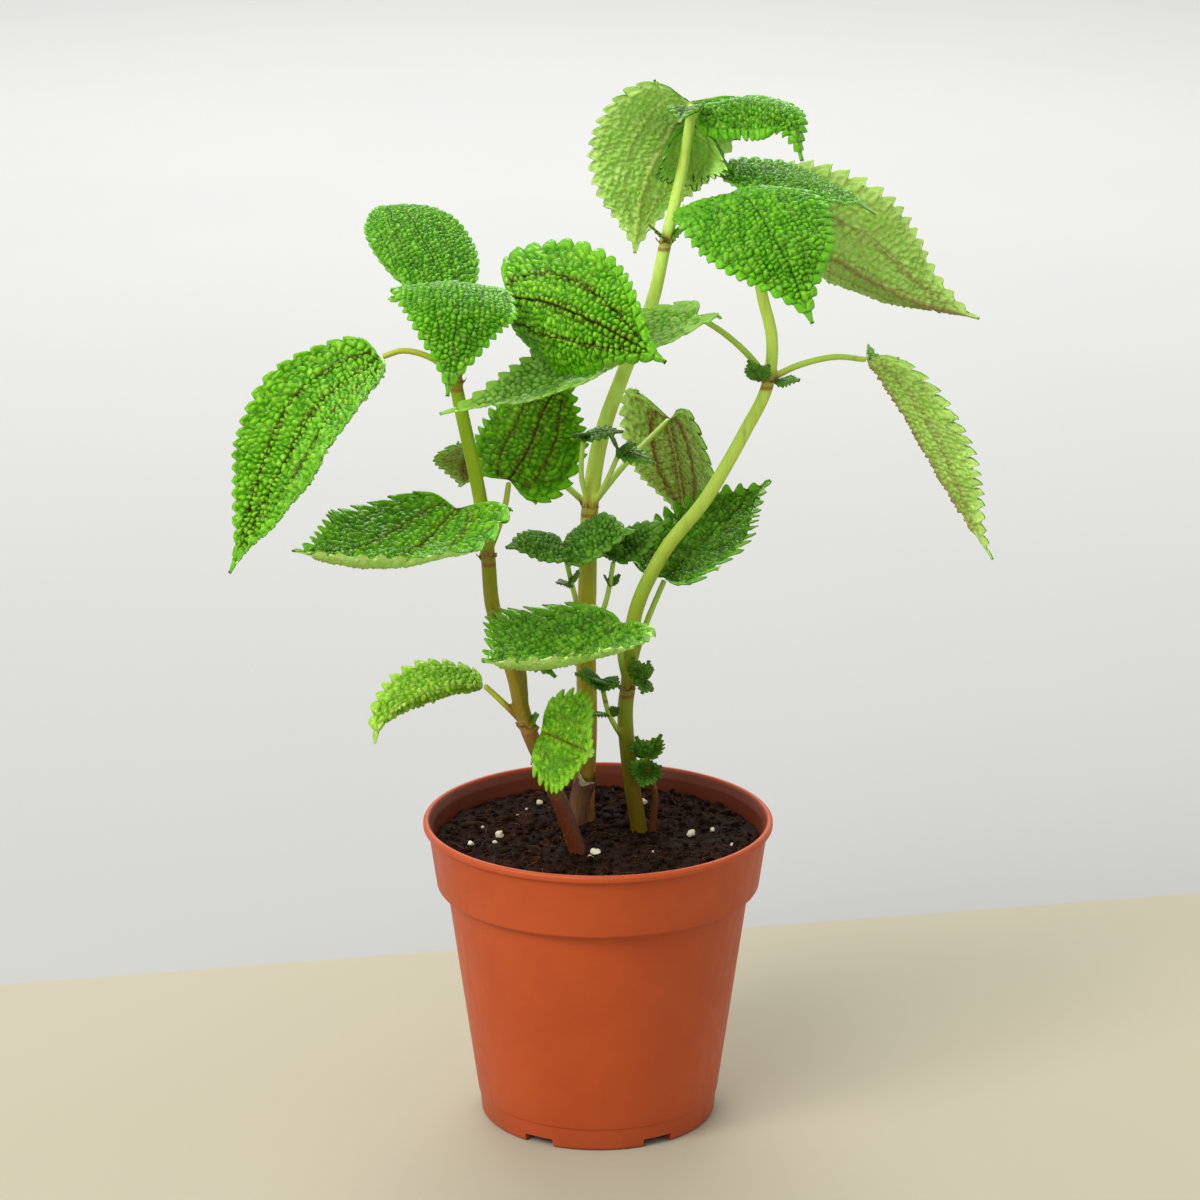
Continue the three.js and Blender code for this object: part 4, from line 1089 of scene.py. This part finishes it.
def makePot():
    p = pot
    top, band, wall = p["height"], p["bandBottom"], p["wall"]
    profile = [
        (0, 0), (p["padRadius"], 0), (p["padRadius"], p["floorUnder"]), (p["footInner"], p["floorUnder"]),
        (p["footInner"], 0), (p["footRadius"] - 0.6, 0), (p["footRadius"], 0.7),
        (p["bodyBottomRadius"] - 0.4, p["footHeight"]), (p["bodyBottomRadius"], p["footHeight"] + 0.15),
        (p["bodyTopRadius"], band - 1.2), (p["bodyTopRadius"] + 0.6, band), (p["bandBottomRadius"] - 0.5, band),
        (p["bandBottomRadius"], band + 0.6), (p["bandTopRadius"], top - 3), (p["rimRadius"], top - 2),
        (p["rimRadius"], top - 0.6), (p["rimRadius"] - 0.6, top), (p["rimRadius"] - 1.5, top),
        (p["bandTopRadius"] - wall, top - 3), (p["bandBottomRadius"] - wall, band + 1.5),
        (p["bodyTopRadius"] - wall, band - 2), (p["bodyBottomRadius"] - wall - 0.4, p["floorTop"]), (0, p["floorTop"]),
    ]
    bm = spun(rounded(profile), p["sides"])
    piece = makePiece(bm, "nursery_pot", [potFinish()], ["pot"])
    cutters = bmesh.new()
    for i in range(p["notches"]):
        turn = Matrix.Rotation((i + 0.5) * 2 * math.pi / p["notches"], 4, "Z")
        size = Matrix.Diagonal((p["notchWidth"], 8, 2 * p["notchHeight"], 1))
        bmesh.ops.create_cube(cutters, size=1, matrix=turn @ Matrix.Translation((0, -p["footRadius"], 0)) @ size)
    bmesh.ops.bevel(cutters, geom=cutters.edges[:], offset=0.6, offset_type="OFFSET", segments=3, profile=0.5,
                    affect="EDGES", material=-1)
    for i in range(p["drains"]):
        turn = Matrix.Rotation(i * 2 * math.pi / p["drains"], 4, "Z") @ Matrix.Translation((0, -p["drainRing"], 3))
        bmesh.ops.create_cone(cutters, cap_ends=True, segments=32, radius1=p["drainRadius"],
                              radius2=p["drainRadius"], depth=12, matrix=turn)
    bmesh.ops.scale(cutters, vec=(0.001, 0.001, 0.001), verts=cutters.verts)
    cutter = linked(cutters, "notches")
    cut = piece.modifiers.new("notches", "BOOLEAN")
    cut.operation = "DIFFERENCE"
    cut.object = cutter
    cut.solver = "EXACT"
    applied(piece)
    bpy.data.objects.remove(cutter)
    for face in piece.data.polygons:
        face.use_smooth = True
    piece.data.set_sharp_from_angle(angle=math.radians(42))


makePot()
print("pot made")

# Soil

soil = {"top": 86.6, "unevenness": 1.1, "fit": 0.3, "sides": 180, "rings": 56, "crumbs": 1500, "crumbsEach": 375,
        "crumbReach": 46, "reach": 44, "fibres": 150, "grains": 9}
# across, back and radius of the larger grains
perlite = [
    (-0.6, -14, 1.4), (-2.2, -18, 0.9), (28, 2, 1.3), (-29.5, 0, 1.2), (-38, -8, 0.9), (7, 8, 1),
    (34.5, 5, 0.8), (-18, 27, 1.1), (14, 31, 1),
]


def lumps(x, y):
    broad = math.sin(0.13 * x + 1) * math.cos(0.11 * y - 0.4)
    middle = math.sin(0.37 * x - 0.21 * y) * math.cos(0.33 * y + 0.17 * x + 2)
    small = math.sin(0.9 * x + 0.4 * y) * math.cos(0.8 * y - 0.5 * x + 1)
    return soil["unevenness"] * (0.5 * broad + 0.6 * middle + 0.5 * small)


def soilHeight(x, y):
    rough = noise.fractal((x * 0.28, y * 0.28, 1.3), 0.9, 2.1, 5)
    return soil["top"] + 0.7 * lumps(x, y) + 0.75 * rough


def soilFinish(name, dark, light, fibre):
    finish = newFinish(name)
    clod = grain(240, 6, 0.75)
    thread = grain(420, 4, 0.8, (1, 0.22, 1))
    wet = grain(60)
    body = layered(dark, (ramp(clod, 0.35, 0.68), light), (ramp(thread, 0.6, 0.74, 0, 0.75), fibre),
                   (ramp(wet, 0.45, 0.65, 0, 0.5), dark))
    return dress(finish, {
        "Base Color": body, "Roughness": ramp(wet, 0.4, 0.7, 0.95, 0.7), "Specular IOR Level": 0.1,
        "Normal": bumps(sums("ADD", clod, thread), 0.0012),
    })


def perliteFinish():
    finish = newFinish("perlite")
    body = mix(ramp(grain(900, 4), 0.35, 0.65), colour(236, 228, 206), colour(198, 186, 158))
    return dress(finish, {"Base Color": body, "Roughness": 0.9, "Normal": bumps(grain(1600, 4), 0.0003)})


peat = soilFinish("peat", colour(17, 7, 2), colour(52, 26, 11), colour(92, 50, 24))


def makeSoil():
    clear = pot["wall"] + soil["fit"]
    slope = (pot["bandTopRadius"] - pot["bandBottomRadius"]) / (pot["height"] - 3 - pot["bandBottom"])
    topRadius = pot["bandBottomRadius"] - clear + slope * (soil["top"] - pot["bandBottom"]) - 0.3
    profile = [
        (0, pot["floorTop"] + soil["fit"]), (pot["bodyBottomRadius"] - clear - 0.6, pot["floorTop"] + soil["fit"]),
        (pot["bodyTopRadius"] - clear - 0.1, pot["bandBottom"] - 2),
        (pot["bandBottomRadius"] - clear - 0.2, pot["bandBottom"] + 1.7), (topRadius, soil["top"] - 0.8),
    ]
    rings = soil["rings"]
    profile += [((topRadius - 0.2) * (1 - i / rings), soil["top"]) for i in range(rings + 1)]
    bm = spun(profile, soil["sides"])
    for vert in bm.verts:
        x, y, z = vert.co
        if z > soil["top"] - 0.1:
            vert.co.z = soilHeight(x, y) - 0.6 * max(0, math.hypot(x, y) / topRadius - 0.9) * 10
    makePiece(bm, "peat", [peat], ["soil"])


def lumpOf(bm, spot, radius, rng, detail=1):
    turn = Matrix.Translation(spot) @ Matrix.Rotation(rng.random() * 6, 4, "Z")
    turn @= Matrix.Diagonal((rng.uniform(0.8, 1.3), rng.uniform(0.8, 1.2), rng.uniform(0.6, 1), 1))
    made = bmesh.ops.create_icosphere(bm, subdivisions=detail, radius=radius, matrix=turn)["verts"]
    shift = rng.random() * 50
    for vert in made:
        out = vert.co - spot
        vert.co = spot + out * (1 + 0.55 * noise.noise(out / radius * 1.3 + Vector((shift, 0, 0))))


def somewhere(rng, reach):
    away, turn = reach * math.sqrt(rng.random()), rng.uniform(0, 2 * math.pi)
    return away * math.cos(turn), away * math.sin(turn)


def makeCrumbs():
    rng = random.Random(5)
    for batch in range(soil["crumbs"] // soil["crumbsEach"]):
        bm = bmesh.new()
        for _ in range(soil["crumbsEach"]):
            x, y = somewhere(rng, soil["crumbReach"])
            size = 0.35 + 1.1 * rng.random() ** 3
            lumpOf(bm, Vector((x, y, soilHeight(x, y) + size * 0.2)), size, rng)
        makePiece(bm, f"crumbs_{batch}", [peat], ["soil"])


def makePerlite():
    rng = random.Random(8)
    bm = bmesh.new()
    grains = perlite + [
        (rng.uniform(-40, 40), rng.uniform(-18, 26), rng.uniform(0.35, 0.6)) for _ in range(soil["grains"])
    ]
    for x, y, size in grains:
        if math.hypot(x, y) < soil["reach"]:
            lumpOf(bm, Vector((x, y, soilHeight(x, y) + size * 0.45)), size, rng, 3)
    makePiece(bm, "perlite", [perliteFinish()], ["soil"])


def makeFibres():
    rng = random.Random(12)
    bm = bmesh.new()
    for _ in range(soil["fibres"]):
        x, y = somewhere(rng, soil["reach"])
        heading = rng.uniform(0, 2 * math.pi)
        points = []
        for _ in range(4):
            points.append([x, y, soilHeight(x, y) + rng.uniform(0.15, 0.9)])
            heading += rng.uniform(-0.7, 0.7)
            step = rng.uniform(1.2, 2.6)
            x, y = x + step * math.cos(heading), y + step * math.sin(heading)
            if math.hypot(x, y) > soil["reach"] + 1:
                x, y = x * 0.93, y * 0.93
        strand = bmesh.new()
        tubeThrough(strand, points, rng.uniform(0.08, 0.2), 0.05, 5, 0.8)
        mesh = bpy.data.meshes.new("strand")
        strand.to_mesh(mesh)
        strand.free()
        bm.from_mesh(mesh)
        bpy.data.meshes.remove(mesh)
    finish = soilFinish("fibre", colour(74, 42, 26), colour(122, 76, 46), colour(150, 104, 66))
    makePiece(bm, "fibres", [finish], ["soil"])


makeSoil()
makeCrumbs()
makePerlite()
makeFibres()
print("soil made")

# Table top and floor

def stageFinish(name, shade):
    finish = newFinish(name)
    cloud = ramp(grain(3, 2), 0.3, 0.7, 0, 0.12)
    return dress(finish, {"Base Color": mix(cloud, shade, colour(182, 179, 168)), "Roughness": 0.85})


def makeStage(name, size, centre, turn, finish):
    bm = bmesh.new()
    where = Matrix.Translation(centre) @ Matrix.Rotation(turn, 4, "Z") @ Matrix.Diagonal((*size, 1))
    bmesh.ops.create_grid(bm, x_segments=2, y_segments=2, size=0.5, matrix=where)
    linked(bm, name, [finish])


makeStage("floor", (9, 9, 1), (0, 0, -0.0012), 0, stageFinish("floor", colour(169, 170, 169)))
makeStage("table_top", (3.2, 1.6, 1), (0.167, -0.642, -0.0001), 0.21, stageFinish("table", colour(173, 167, 145)))
